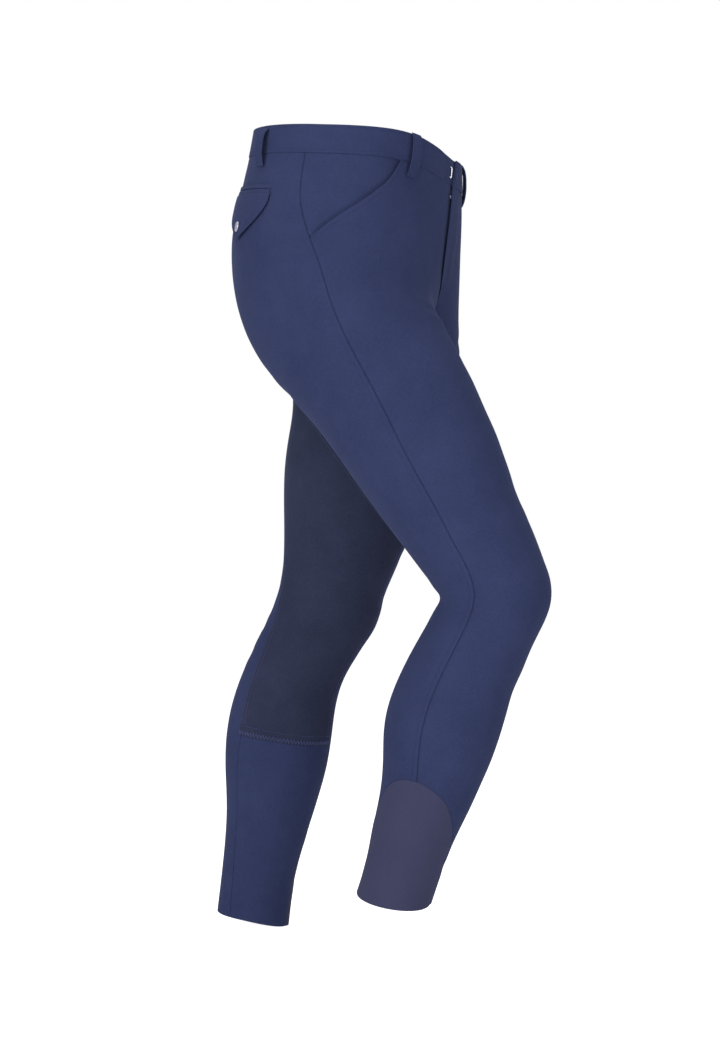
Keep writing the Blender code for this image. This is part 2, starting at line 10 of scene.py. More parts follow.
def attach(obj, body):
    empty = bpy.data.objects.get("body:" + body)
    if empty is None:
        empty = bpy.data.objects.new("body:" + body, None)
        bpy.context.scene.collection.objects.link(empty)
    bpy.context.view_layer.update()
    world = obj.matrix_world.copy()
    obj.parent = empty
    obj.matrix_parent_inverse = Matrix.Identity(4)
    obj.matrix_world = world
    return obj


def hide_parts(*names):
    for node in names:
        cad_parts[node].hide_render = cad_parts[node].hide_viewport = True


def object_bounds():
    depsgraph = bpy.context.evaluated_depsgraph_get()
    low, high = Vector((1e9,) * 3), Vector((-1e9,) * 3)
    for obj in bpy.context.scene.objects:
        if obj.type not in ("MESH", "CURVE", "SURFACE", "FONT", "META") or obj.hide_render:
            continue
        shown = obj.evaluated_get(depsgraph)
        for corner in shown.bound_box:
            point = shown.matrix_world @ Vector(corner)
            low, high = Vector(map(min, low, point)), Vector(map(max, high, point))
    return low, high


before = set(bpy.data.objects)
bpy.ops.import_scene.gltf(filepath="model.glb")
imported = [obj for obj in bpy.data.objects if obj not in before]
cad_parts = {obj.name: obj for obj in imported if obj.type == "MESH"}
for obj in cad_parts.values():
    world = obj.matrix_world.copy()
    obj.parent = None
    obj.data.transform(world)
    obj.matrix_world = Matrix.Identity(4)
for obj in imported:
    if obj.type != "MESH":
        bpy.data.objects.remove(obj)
cad_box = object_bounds()


# ------------------------------------------------------------------------------ studio
# A white floor and white walls under soft lamps. The camera stands 3.5 m off on the
# wearer's right, turned a little towards the front, a little above knee height.
CAMERA_AWAY = 3.5
CAMERA_TURN = 20.0                # degrees from square to the wearer's right side
CAMERA_HEIGHT = -0.474            # from the level of the waist
CAMERA_ASIDE = 0.0019             # stands this far to its own right of the waist's middle
CAMERA_LENS, FILM_HEIGHT = 95.9, 36.0
FLOOR_COLOUR, FLOOR_LIGHT, FLOOR_SEEN = (0.85, 0.85, 0.85), 0.23, 0.96
FLOOR_SIZE = 40.0
WALL_LIGHT, WALL_SEEN = 0.02, 1.0  # floor and walls are dimmer as lamps than they look
# name, size, power, place, the point that it faces
LAMPS = [
    ("key", 2.0, 65.0, (-3.58, 1.67, 0.7), (0, 0, -0.45)),
    ("fill", 2.0, 46.0, (-3.8, -1.1, 0.7), (0, 0, -0.45)),
    ("side", 2.0, 31.0, (-1.98, -3.42, 0.7), (0, 0, -0.45)),
    ("overhead", 4.0, 67.0, (0.3, 0, 3.0), (0.3, 0, -1.0)),
]


def add_object(name, data):
    """An object, put in the scene."""
    made = bpy.data.objects.new(name, data)
    bpy.context.scene.collection.objects.link(made)
    return made


def new_material(name):
    """A material, and the shader that its nodes lead to."""
    made = bpy.data.materials.new(name)
    made.use_nodes = True
    return made, made.node_tree.nodes["Principled BSDF"]


def stand_in_studio():
    """The camera, and the lamps round the garment."""
    turn = math.radians(CAMERA_TURN)
    towards = Vector((math.cos(turn), math.sin(turn), 0))
    screen_right = Vector((math.sin(turn), -math.cos(turn), 0))
    lens = bpy.data.cameras.new("camera")
    lens.sensor_fit, lens.sensor_height, lens.lens = "VERTICAL", FILM_HEIGHT, CAMERA_LENS
    lens.clip_end = 100.0
    camera = add_object("camera", lens)
    camera.location = towards * -CAMERA_AWAY + screen_right * CAMERA_ASIDE + Vector((0, 0, CAMERA_HEIGHT))
    camera.rotation_euler = towards.to_track_quat("-Z", "Y").to_euler()
    bpy.context.scene.camera = camera
    for name, size, power, place, facing in LAMPS:
        lamp = bpy.data.lights.new(name, "AREA")
        lamp.shape, lamp.size, lamp.energy = "DISK", size, power
        made = add_object(name, lamp)
        made.location = place
        made.rotation_euler = (Vector(facing) - Vector(place)).to_track_quat("-Z", "Y").to_euler()


def seen_or_lit(tree, lit, seen, socket):
    """One strength where the camera or a mirror sees the surface, another where it lights."""
    rays = tree.nodes.new("ShaderNodeLightPath").outputs
    either = tree.nodes.new("ShaderNodeMath")
    either.operation = "MAXIMUM"
    tree.links.new(rays["Is Camera Ray"], either.inputs[0])
    tree.links.new(rays["Is Glossy Ray"], either.inputs[1])
    strength = tree.nodes.new("ShaderNodeMapRange")
    strength.inputs["To Min"].default_value, strength.inputs["To Max"].default_value = lit, seen
    tree.links.new(either.outputs[0], strength.inputs["Value"])
    tree.links.new(strength.outputs[0], socket)


def lay_floor():
    """A matt white floor at the level of the lower hem."""
    mesh = bpy.data.meshes.new("floor")
    low, half = cad_box[0].z, FLOOR_SIZE / 2
    mesh.from_pydata([(x * half, y * half, low) for x, y in ((-1, -1), (1, -1), (1, 1), (-1, 1))], [],
                     [(0, 1, 2, 3)])
    paint, shader = new_material("floor_white")
    shader.inputs["Base Color"].default_value = (*FLOOR_COLOUR, 1)
    shader.inputs["Roughness"].default_value = 1.0
    shader.inputs["Emission Color"].default_value = (1, 1, 1, 1)
    seen_or_lit(paint.node_tree, FLOOR_LIGHT, FLOOR_SEEN, shader.inputs["Emission Strength"])
    mesh.materials.append(paint)
    floor = add_object("floor", mesh)


walls = bpy.data.worlds.new("white_walls")
walls.use_nodes = True
walls.node_tree.nodes["Background"].inputs["Color"].default_value = (1, 1, 1, 1)
seen_or_lit(walls.node_tree, WALL_LIGHT, WALL_SEEN, walls.node_tree.nodes["Background"].inputs["Strength"])
bpy.context.scene.world = walls
bpy.context.scene.view_settings.view_transform = "Standard"
stand_in_studio()
lay_floor()


# -------------------------------------------------------------------- fronts and backs
# Four long panels of stretch twill, 1.2 mm thick, joined at the side seams, the inseams
# and down the middle, with a turned hem. The left front carries on past the middle as the
# fly's lap.

# Rings strung on a centre line for each leg give the filled-out form, in millimetres. Down
# is the way from the waist edge along the leg. An angle is 0 in front, 90 on the outside
# and 180 behind.
MM = 0.001
LENGTH, BAND_DEPTH, FORK = 1002.0, 35.0, 262.0
WAIST_EASE = 150.0                # the waist edge's rise and fall fades out over this much below the band
HEM_DROP = 8.2                    # the hem is this much longer on the outside
SHIN_DROP = {"right": 0.0, "left": 4.6}   # and this much longer in front
HEM_EASE = 77.0                   # it grows longer over this much above the hem
LEG_SWING = 110.0                 # the thigh takes up its own leg's swing over this much below the fork
HIP_REACH = 95.0                  # and, above that, over this much out from the middle
CLOTH, HEM_FOLD = 1.2, 14.0       # wall of the twill, and height of the hem's turning
HEM_EXTRA, HEM_STEP = 0.9, 1.5    # the turning is this much thicker, and begins over this much
# down, half depth front to back, outermost x, squareness of the ring
CUT = [
    (0, 127.5, 150, 2.10), (36, 131, 155, 2.10), (100, 133.5, 167, 2.10), (150, 131.5, 174, 2.05),
    (200, 128, 177, 2.00), (235, 123, 178, 2.00), (262, 117, 177, 2.00), (300, 107.1, 176, 2.00),
    (340, 99.2, 175, 2.00), (410, 90.8, 171.5, 2.00), (457, 84.8, 168, 2.00), (510, 76.7, 163, 2.00),
    (560, 68.8, 158, 2.00), (610, 67.8, 155, 2.00), (660, 63, 150, 2.00), (720, 66.8, 149, 2.00),
    (790, 69.3, 147, 2.00), (860, 58.3, 139, 2.00), (930, 48.9, 130, 2.00), (1002, 47.2, 126, 2.00),
]
# down, how far the ring is parted into two legs
PARTING = [(50, 0), (100, 0.09), (150, 0.24), (185, 0.36), (215, 0.53), (240, 0.76), (262, 1)]
# down, x of the inner face of the leg
INSIDE = [(262, 0.3), (275, 2.6), (300, 6), (330, 9), (400, 15), (457, 20), (510, 26), (560, 31),
          (610, 33), (660, 34), (720, 33), (790, 31), (860, 33), (930, 37), (1002, 40)]
# the stride, a centre line for each leg: down, y, z, tilt
BACK_LEG = [
    (0, 0, 0, -12), (36, 3, -36, -12), (100, 11.5, -100, -11), (150, 16, -149, -10.5),
    (236, 17.5, -234, -10.5), (300, 15.5, -298, -11), (345, 21, -343, -11), (380, 31, -377, -11.2),
    (424, 42, -420, -11.4), (513, 57, -508, -11.5), (559, 69, -553, -12.6), (591, 78, -583, -15),
    (655, 109.6, -640, -18), (712, 132, -694, -15.7), (765, 143, -745.5, -12.4),
    (818, 149.6, -798, -11.4), (872, 155.8, -851, -11.5), (926, 165.4, -905, -11.4), (1002, 176.4, -981, -8),
]
FRONT_LEG = [
    (0, 0, 0, -12), (36, 3, -36, -12), (100, 12, -100, -11), (150, 14, -149, -7.5),
    (205, 4, -200, 1), (262, -25, -251, 12), (300, -50, -283, 19), (356, -83.4, -330, 25),
    (416, -114.6, -381, 28), (457, -135.5, -415.5, 30), (510, -162, -461, 32), (550, -180.5, -495.5, 31),
    (616, -208, -558, 0), (660, -192, -598, -19), (733, -159, -663.5, -17), (804, -135.3, -730, -15.6),
    (871, -118.8, -795, -15.9), (941, -95.8, -861, -14.7), (1002, -75.6, -924.3, -10.5),
]
# angle, how far the waist edge rises above its own plane; the fly's side sags in front
WAIST_RISE = {
    "right": [(0, 4.3), (15, 12.0), (30, 19.6), (60, 18.3), (90, 8), (120, -1.4), (150, -7.5), (180, -8)],
    "left": [(0, 4.3), (15, 2.2), (30, 3.6), (60, 8.5), (90, 6.5), (120, -1.4), (150, -7.5), (180, -8)],
}
# down, how much fuller than the oval the form is in front and behind
FULLER = {
    "right": [
        (0, 0, 0), (50, 0, 0), (72, 0, -1.3), (108, 0, -1.4), (140, 0, 0), (400, 0, 0), (446, 1.1, 0),
        (478, 0, 0), (512, -0.4, 0), (535, 1.6, 0), (549, 2.8, 0), (563, 1.6, 0.3), (590, -1.8, 0.8),
        (604, -0.4, 1.3), (618, 0.1, 1.1), (645, -1.1, 0), (687, 1.5, 0), (725, -0.9, 0), (760, 0.2, 0.3),
        (813, 1.5, 1.1), (850, 0.7, 0.4), (900, 0.5, 0.9), (922, 0.4, 1.1), (968, 0.2, -1.8), (985, 0, -1.8),
        (1002, -0.5, -0.9),
    ],
    "left": [
        (0, 0, 0), (50, 0, 0), (72, 0, -1.3), (108, 0, -1.4), (140, 0, 0), (490, 0, 0), (507, -1.9, 0),
        (558, -1.9, 0), (577, -0.4, -0.3), (592, -0.6, -0.8), (622, -2.5, -2.1), (645, -0.8, -1.2),
        (665, 0, -0.4), (740, 0, -0.9), (765, -0.3, -1.4), (798, -0.6, -1.8), (835, -1.1, -1.2),
        (870, -1.0, -0.8), (900, 0, -0.5), (1002, 0, 0),
    ],
}
# down, angle of the side seam
SIDE_SEAM = [(0, 94.5), (40, 93.6), (95, 90.7), (131, 84.2), (155, 79.6), (193, 76.6), (230, 77.3),
             (293, 82.1), (379, 87.1), (462, 90.5), (541, 92.2), (584, 94.2), (619, 96.4), (664, 94.8),
             (712, 94.9), (790, 94.7), (832, 91.5), (854, 89), (1002, 89)]
# down, how far the inseam lies behind the innermost line
INSEAM = [(262, 0), (330, 8), (420, 16), (520, 22), (600, 24), (707, 25), (762, 27), (800, 29), (880, 28),
          (955, 23), (1002, 20)]
# down, angle of the slant pocket's edge, which ends on the side seam
SLANT = [(35, 42.3), (58, 47.3), (80, 57.3), (102, 70.2), (116, 77.4), (131, 84.2)]
SLANT_END = 131.0
# root of the way down from the arch's top, angle of the front and of the back edge of the ankle insert
ARCH = [(0, 89, 89), (1.2, 79, 103), (2.45, 64.5, 114.5), (3.46, 53.5, 124), (5.1, 37.5, 138),
        (6.4, 25, 148), (7.62, 11, 160), (8.72, 0, 173), (10.54, -3, 180), (12.17, -4, 182)]
ARCH_TOP = 854.0
# down, from the middle to the fly's stitched line, lap past the middle, height over the front
FLY = [(35, 30, 8, 2.4), (60, 30, 11, 2.9), (131, 30, 14, 2.6), (150, 25, 9, 2.0), (172, 12, 0.6, 1.2),
       (193, 2, 0, 0.2), (200, 0, 0, 0)]
# an edge's section: in from it, dip where it is seamed, dip where it is stitched
EDGE = [(0, 1.15, 0), (0.12, 1.05, 0), (0.45, 0.8, 0), (0.95, 0.5, 0), (1.6, 0.3, 0), (3.4, 0.06, 0),
        (5.3, 0, 0.08), (5.8, 0, 0.24), (6.3, 0, 0.36), (6.8, 0, 0.24), (8.0, 0, 0.04)]
STITCH_IN, STITCH_SINK = 6.3, 0.15   # a topstitched row's distance from its seam, and how deep it lies
ARCH_SEAM = 0.45                  # the seam round the ankle insert keeps this share of the dip
SEAM_ROLL = 1.6                   # how far in from a seam the cloth starts to turn down
EDGE_SHARE = 0.48                 # an edge's close columns take up this share of the width at most
STEEPEST = 2.2                    # where an edge runs nearly level, they spread this many times at most
ROW_STEP = 3.2                    # the panels' rows of points are this far apart
FRONT_COLUMNS, BACK_COLUMNS = 44, 52   # columns of points between a panel's two edges
MERGED, SPECK = 0.004, 0.002      # points nearer than this are merged, and shorter edges taken out
FRONT_GATHERS, BACK_GATHERS = 0.16, 0.10   # depth of the gathers beside the stitched seams
SEAM_STARTS = 6.0                 # the side seam sinks in over this much below the slant
FRONT_ARCH_EASE, BACK_ARCH_EASE = 5.0, 4.0   # it changes to the insert's seam over this much
FLY_END, FLY_SEAM = 193.0, 12.0   # the seam down the middle begins this much above the fly's end
UNDER_LAP, UNDER_EASE = 1.2, 14.0   # the right front sinks this much, over this much, under the lap
LAP_EASE = 20.0                   # the lap rises over this much in from its stitched line
LAP_SHUTS = 90.0                  # the front lies level again over this much above the fly's end
CLOTH_SHINE = 0.05
TWILL_RIBS, TWILL_LEAN = 0.7, 63.0   # the ribs' distance apart and their lean, in degrees
RIBS_TO_SCALE = 3.2               # ribs to each unit of a wave texture's scale
NAVY, NAVY_DEEP = (0.0395, 0.0510, 0.128), (0.029, 0.0385, 0.100)
THREAD_BLUE, THREAD_DEEP = (0.050, 0.062, 0.150), (0.036, 0.045, 0.115)


def flowing(table, j):
    """A natural cubic through column j of a table."""
    xs, ys = (np.array([row[k] for row in table], float) for k in (0, j))
    n, h = len(xs), np.diff(xs)
    a, r = np.eye(n), np.zeros(n)
    for i in range(1, n - 1):
        a[i, i - 1:i + 2] = h[i - 1], 2 * (h[i - 1] + h[i]), h[i]
        r[i] = 3 * ((ys[i + 1] - ys[i]) / h[i] - (ys[i] - ys[i - 1]) / h[i - 1])
    c = np.linalg.solve(a, r)

    def at(x):
        i = np.clip(np.searchsorted(xs, x, side="right") - 1, 0, n - 2)
        d = x - xs[i]
        b = (ys[i + 1] - ys[i]) / h[i] - h[i] * (2 * c[i] + c[i + 1]) / 3
        return ys[i] + b * d + c[i] * d * d + (c[i + 1] - c[i]) / (3 * h[i]) * d ** 3
    return at


def steady(table, j):
    """A smooth curve through column j of a table that never swings past its points."""
    xs, ys = (np.array([row[k] for row in table], float) for k in (0, j))
    h, slope = np.diff(xs), np.diff(ys) / np.diff(xs)
    turns = slope[:-1] * slope[1:] <= 0
    both = np.where(turns, 1, slope[:-1] + slope[1:])
    mean = np.where(turns, 0, 2 * slope[:-1] * slope[1:] / both)
    rate = np.concatenate([slope[:1], mean, slope[-1:]])

    def at(x):
        x = np.clip(x, xs[0], xs[-1])
        i = np.clip(np.searchsorted(xs, x, side="right") - 1, 0, len(xs) - 2)
        t = (x - xs[i]) / h[i]
        ends = ys[i] * (1 + 2 * t) * (1 - t) ** 2 + ys[i + 1] * t * t * (3 - 2 * t)
        return ends + h[i] * t * (1 - t) * (rate[i] * (1 - t) - rate[i + 1] * t)
    return at


def easing(x):
    """From 0 to 1, with a soft start and end."""
    x = np.clip(x, 0.0, 1.0)
    return x * x * (3 - 2 * x)


def swell(off, wide):
    """1 in the middle of a groove or a ridge, fading over its width on both sides."""
    return np.exp(-(off / wide) ** 2)


half_depth, outermost, squareness = (flowing(CUT, j) for j in (1, 2, 3))
parting, inside, inseam = steady(PARTING, 1), steady(INSIDE, 1), steady(INSEAM, 1)
side_seam, slant = flowing(SIDE_SEAM, 1), steady(SLANT, 1)
fuller = {side: [steady(table, j) for j in (1, 2)] for side, table in FULLER.items()}
waist_rise = {side: flowing(table, 1) for side, table in WAIST_RISE.items()}
arch_front, arch_back = (steady(ARCH, j) for j in (1, 2))
fly_line, fly_lap, fly_height = (steady(FLY, j) for j in (1, 2, 3))
LINES = {"left": [flowing(BACK_LEG, j) for j in (1, 2, 3)],
         "right": [flowing(FRONT_LEG, j) for j in (1, 2, 3)]}
OUT = {"left": 1.0, "right": -1.0}


def ring(down):
    """Half width, centre x, half depth and squareness of the ring at a level."""
    out, part = outermost(down), parting(down)
    inner = np.where(down < FORK, -out * (1 - part) / (1 + part), inside(down))
    return (out - inner) / 2, (out + inner) / 2, half_depth(down), squareness(down)


def first_angle(down):
    """Angle of the middle of the front, and of the inseam below the fork."""
    half, centre, _, square = ring(down)
    cut = np.clip(centre / half, -1, 1)
    turn = np.arcsin(np.sign(cut) * np.abs(cut) ** (square / 2))
    return np.where(down < FORK, -np.degrees(turn), -90 - inseam(down))


def last_angle(down):
    """Angle of the middle of the back, and of the inseam below the fork."""
    return np.where(down < FORK, 180 - first_angle(down), 270 - inseam(down))


def on_line(side, down, angle, line):
    """Points of the rings strung on one leg's centre line, for the left half."""
    half, centre, depth, square = ring(down)
    turn = np.radians(angle)
    s, c = np.sin(turn), np.cos(turn)
    across = centre + half * np.sign(s) * np.abs(s) ** (2 / square)
    ahead = depth * np.sign(c) * np.abs(c) ** (2 / square)
    in_front, behind = (extra(down) for extra in fuller[side])
    ahead = ahead + np.where(c > 0, in_front, -behind) * c * c
    tilt = np.radians(line[2](down))
    rise = waist_rise[side](np.clip(angle, 0, 180)) * (1 - easing((down - BAND_DEPTH) / WAIST_EASE))
    longer = HEM_DROP * np.clip(s, 0, 1) ** 0.7 + SHIN_DROP[side] * np.clip(c, 0, 1) ** 1.5
    drop = easing((down - LENGTH + HEM_EASE) / HEM_EASE) * longer
    return across, line[0](down) - ahead * np.cos(tilt), line[1](down) + ahead * np.sin(tilt) + rise - drop


def surface(side, down, angle):
    """Points of the filled-out form. Above the fork the middle stays put, and each thigh
    swings with its own leg."""
    down, angle = np.broadcast_arrays(np.asarray(down, float), np.asarray(angle, float))
    x, y, z = on_line(side, down, angle, LINES["left"])
    if side == "right":
        _, y2, z2 = on_line(side, down, angle, LINES["right"])
        free = easing((down - FORK) / LEG_SWING)
        swing = 1 - (1 - free) * (1 - easing(np.abs(x) / HIP_REACH))
        y, z = y + swing * (y2 - y), z + swing * (z2 - z)
    return np.stack([OUT[side] * x, y, z], -1)


def outward(side, down, angle):
    """Unit normals of the form."""
    step = 0.5
    along = surface(side, down + step, angle) - surface(side, down - step, angle)
    around = surface(side, down, angle + step) - surface(side, down, angle - step)
    normal = np.cross(along, around) * OUT[side]
    return normal / np.linalg.norm(normal, axis=-1, keepdims=True)


def radius(down, angle):
    """Millimetres of cloth for each radian of angle."""
    half, _, depth, _ = ring(down)
    turn = np.radians(angle)
    return np.hypot(half * np.cos(turn), depth * np.sin(turn))


# creases of the worn cloth: down and angle of one end, down and angle of the other, width, depth
CREASES = {
    "right": [
        (222, 96, 262, 128, 7.0, 0.9), (246, 104, 286, 150, 8.0, 1.1), (272, 132, 300, 176, 8.0, 1.3),
        (290, 150, 322, 200, 9.0, 1.2), (206, 20, 236, -10, 7.0, 0.8), (226, 30, 262, -20, 8.0, 1.2),
        (252, 40, 296, -8, 9.0, 1.0), (600, 150, 622, 205, 7.0, 1.3), (622, 140, 640, 200, 7.0, 1.2),
        (646, 150, 654, 210, 8.0, 0.9), (566, 160, 596, 205, 9.0, 0.8), (948, 20, 962, -40, 7.0, 0.5),
        (136, 60, 176, 44, 9.0, 0.45), (150, 72, 204, 62, 10.0, 0.4),
    ],
    "left": [
        (232, 100, 268, 132, 7.0, 0.9), (256, 112, 290, 152, 8.0, 1.0), (284, 140, 306, 186, 8.0, 1.0),
        (214, 26, 240, -6, 7.0, 0.8), (238, 34, 268, -14, 8.0, 1.0), (620, 150, 640, 205, 7.0, 1.2),
        (640, 140, 656, 200, 7.0, 1.0), (664, 152, 674, 208, 8.0, 0.8), (590, 158, 616, 200, 9.0, 0.7),
        (940, 30, 958, -36, 7.0, 0.5), (140, 62, 180, 46, 9.0, 0.4), (156, 74, 208, 62, 10.0, 0.35),
    ],
}


RIDGE, RIDGE_OFF = 0.45, 1.9      # the ridge beside a crease: its share of the depth, widths away


def creased(side, points):
    """How far the creases move each point of a side out: troughs with a low ridge beside them."""
    lift = np.zeros(points.shape[:-1])
    along = np.linspace(0, 1, 9)
    for down_a, angle_a, down_b, angle_b, wide, deep in CREASES[side]:
        line = surface(side, down_a + (down_b - down_a) * along, angle_a + (angle_b - angle_a) * along)
        nearest, place = np.full(lift.shape, np.inf), np.zeros(lift.shape)
        for i, (a, b) in enumerate(zip(line, line[1:])):
            part = np.clip(((points - a) @ (b - a)) / ((b - a) @ (b - a)), 0, 1)
            away = np.linalg.norm(points - a - part[..., None] * (b - a), axis=-1)
            place = np.where(away < nearest, (i + part) / (len(line) - 1), place)
            nearest = np.minimum(nearest, away)
        fade = np.sin(np.pi * np.clip(place, 0, 1)) ** 0.7
        lift -= deep * fade * (swell(nearest, wide) - RIDGE * swell(nearest - RIDGE_OFF * wide, wide))
    return lift


def on_cloth(side, down, angle, lift):
    """Points and normals that stand off the creased form by a lift. Angles short of the
    first one carry on past the middle of the front."""
    down, angle = np.broadcast_arrays(np.asarray(down, float), np.asarray(angle, float))
    lift = np.broadcast_to(lift, down.shape)
    first = first_angle(down)
    past = (angle < first) & (down < FORK)
    angle = np.where(past, 2 * first - angle, angle)
    points, normals = np.empty(down.shape + (3,)), np.empty(down.shape + (3,))
    for who, here in ((side, ~past), ("left" if side == "right" else "right", past)):
        normals[here] = outward(who, down[here], angle[here])
        points[here] = surface(who, down[here], angle[here])
        points[here] += normals[here] * (creased(who, points[here]) + lift[here])[..., None]
    return points, normals


def angle_at(side, down, x):
    """Angle on the front at a distance x from the middle; a negative x is past it."""
    start = first_angle(down)
    return start + np.degrees(x / radius(down, start))


def square_to(side, edge, down):
    """Degrees of angle for each millimetre square to an edge."""
    along = surface(side, down + 1, edge(down + 1)) - surface(side, down - 1, edge(down - 1))
    around = surface(side, down, edge(down) + 0.5) - surface(side, down, edge(down) - 0.5)
    return np.linalg.norm(along, axis=-1) / np.linalg.norm(np.cross(along, around), axis=-1)


def away_from(side, edge, down, angles):
    """How far each point of a grid is from an edge, in millimetres of cloth. The edge is
    looked at up to 9 mm above and below."""
    scale, nearest = np.radians(radius(down, edge(down)))[:, None], np.full(angles.shape, np.inf)
    for off in np.arange(-9.0, 9.1, 0.3):
        beside = edge(np.clip(down + off, down[0], down[-1]))[:, None]
        nearest = np.minimum(nearest, np.hypot((angles - beside) * scale, off))
    return nearest


def columns(side, down, first, last, count, first_edge, last_edge):
    """Angles of a piece's columns at each level, close together along its two edges, with
    how far each point is in from an edge and how far it dips. An edge is given as how much
    it is seamed and how much it is stitched, from 0 to 1, at each level."""
    a, b = first(down)[:, None], last(down)[:, None]
    inset, seam_dip, stitch_dip = np.array(EDGE).T
    flat = STEEPEST * np.degrees(1 / radius(down, a[:, 0]))
    near, far = (np.minimum(square_to(side, edge, down), flat)[:, None] for edge in (first, last))
    reach = np.minimum(1.0, EDGE_SHARE * (b - a) / inset[-1] / np.maximum(near, far))
    start, end = a + near * inset * reach, b - (far * inset * reach)[:, ::-1]
    across = np.linspace(0, 1, count + 2)[1:-1]
    angles = np.hstack([start, start[:, -1:] + (end[:, :1] - start[:, -1:]) * across, end])
    ways = [away_from(side, edge, down, angles) for edge in (first, last)]
    dip = np.zeros(angles.shape)
    for way, shares in zip(ways, (first_edge, last_edge)):
        seamed, stitched = (np.reshape(share * np.ones(len(down)), (-1, 1)) for share in shares)
        dip += seamed * np.interp(way, inset, seam_dip) + stitched * np.interp(way, inset, stitch_dip)
    return angles, np.minimum(*ways), dip


def rows_between(top, end, step=ROW_STEP, roll=SEAM_ROLL, extra=()):
    """Levels down a piece, close together at its top and bottom edges, with how far each
    is in from them."""
    near = roll * (1 - np.cos(np.radians([0, 22.5, 45, 67.5, 90])))
    inner = np.linspace(top + roll, end - roll, max(2, int((end - top) / step)))
    down = np.unique(np.concatenate([top + near, inner, end - near, np.array(extra, float)]).round(4))
    return down, np.minimum(down - top, end - down)


def cloth_piece(name, outer, inner, way, turned, finish):
    """A closed piece of cloth from its outer and inner faces, grids of points that meet
    along the edges. Its map is in metres of cloth: across the piece, and down it."""
    rows, cols = outer.shape[:2]
    count = rows * cols
    corner = np.arange(count).reshape(rows, cols)
    quads = np.stack([corner[:-1, :-1], corner[1:, :-1], corner[1:, 1:], corner[:-1, 1:]], -1).reshape(-1, 4)
    if turned:
        quads = quads[:, ::-1]
    quads = np.concatenate([quads, quads[:, ::-1] + count])
    across = np.linalg.norm(np.diff(outer, axis=1), axis=-1)
    across = np.hstack([np.zeros((rows, 1)), np.cumsum(across, 1)])
    across = across - across[:, cols // 2:cols // 2 + 1]
    weave = np.tile(np.stack([across, np.broadcast_to(way, (rows, cols))], -1).reshape(-1, 2) * MM, (2, 1))
    mesh = bpy.data.meshes.new(name)
    points = np.concatenate([outer.reshape(-1, 3), inner.reshape(-1, 3)]) * MM
    mesh.vertices.add(2 * count)
    mesh.vertices.foreach_set("co", points.astype(np.float32).ravel())
    mesh.loops.add(quads.size)
    mesh.loops.foreach_set("vertex_index", quads.ravel().astype(np.int32))
    mesh.polygons.add(len(quads))
    mesh.polygons.foreach_set("loop_start", np.arange(0, quads.size, 4, dtype=np.int32))
    mesh.update(calc_edges=True)
    uv = mesh.uv_layers.new(name="cloth")
    uv.data.foreach_set("uv", weave[quads.ravel()].astype(np.float32).ravel())
    shape = bmesh.new()
    shape.from_mesh(mesh)
    bmesh.ops.remove_doubles(shape, verts=shape.verts, dist=MERGED * MM)
    bmesh.ops.dissolve_degenerate(shape, edges=shape.edges, dist=SPECK * MM)
    shape.to_mesh(mesh)
    shape.free()
    mesh.shade_smooth()
    mesh.materials.append(finish)
    return add_object(name, mesh)


def sew_piece(name, side, down, angles, lift, wall, across_in, down_in, roll, finish, dip=0.0):
    """A piece of cloth on the form. lift is how far its outer face stands off; towards the
    edges, over the width of the roll, both faces turn to meet in the middle of the wall."""
    down, across_in, down_in = (np.asarray(part, float) for part in (down, across_in, down_in))
    down = down[:, None] if down.ndim == 1 else down
    down_in = down_in[:, None] if down_in.ndim == 1 else down_in
    short = np.hypot(np.clip(1 - across_in / roll, 0, 1), np.clip(1 - down_in / roll, 0, 1))
    full = np.sqrt(np.clip(1 - short ** 2, 0, 1)) * np.ones(angles.shape)
    middle = np.broadcast_to(lift, angles.shape) - wall / 2 - dip
    outer, _ = on_cloth(side, down, angles, middle + wall / 2 * full)
    inner, _ = on_cloth(side, down, angles, middle - wall / 2 * full)
    return cloth_piece(name, outer, inner, down, side == "right", finish)


def add_node(material, kind, settings=None, **inputs):
    """A shader node, with its inputs set or linked by name."""
    made = material.node_tree.nodes.new(kind)
    for name, value in (settings or {}).items():
        setattr(made, name, value)
    for name, value in inputs.items():
        socket = made.inputs[name.replace("_", " ")]
        if isinstance(value, bpy.types.NodeSocket):
            material.node_tree.links.new(value, socket)
        else:
            socket.default_value = value
    return made


def blended(material, over, share, under):
    """A share of one height added to another."""
    both = add_node(material, "ShaderNodeMath", {"operation": "MULTIPLY_ADD"})
    material.node_tree.links.new(over, both.inputs[0])
    both.inputs[1].default_value = share
    material.node_tree.links.new(under, both.inputs[2])
    return both.outputs[0]


def in_relief(material, shader, height, strength, deep, **below):
    """The shader's relief: a height, its depth in millimetres, and any relief below it."""
    bump = add_node(material, "ShaderNodeBump", Strength=strength, Distance=deep * MM, Height=height, **below)
    material.node_tree.links.new(bump.outputs[0], shader.inputs["Normal"])


def two_colours(material, share, deep, colour):
    """A colour that goes from a deep one to a lighter one by a share."""
    mixed = add_node(material, "ShaderNodeMix", {"data_type": "RGBA"}, Factor=share)
    mixed.inputs[6].default_value, mixed.inputs[7].default_value = (*deep, 1), (*colour, 1)
    return mixed.outputs[2]


def ribs_across(material, along, apart, **more):
    """Fine ribs across a direction, this many millimetres apart."""
    ribs = add_node(material, "ShaderNodeTexWave", {"bands_direction": "X"}, Vector=along,
                    Scale=1 / (apart * MM) / RIBS_TO_SCALE, **more)
    return ribs.outputs["Fac"]


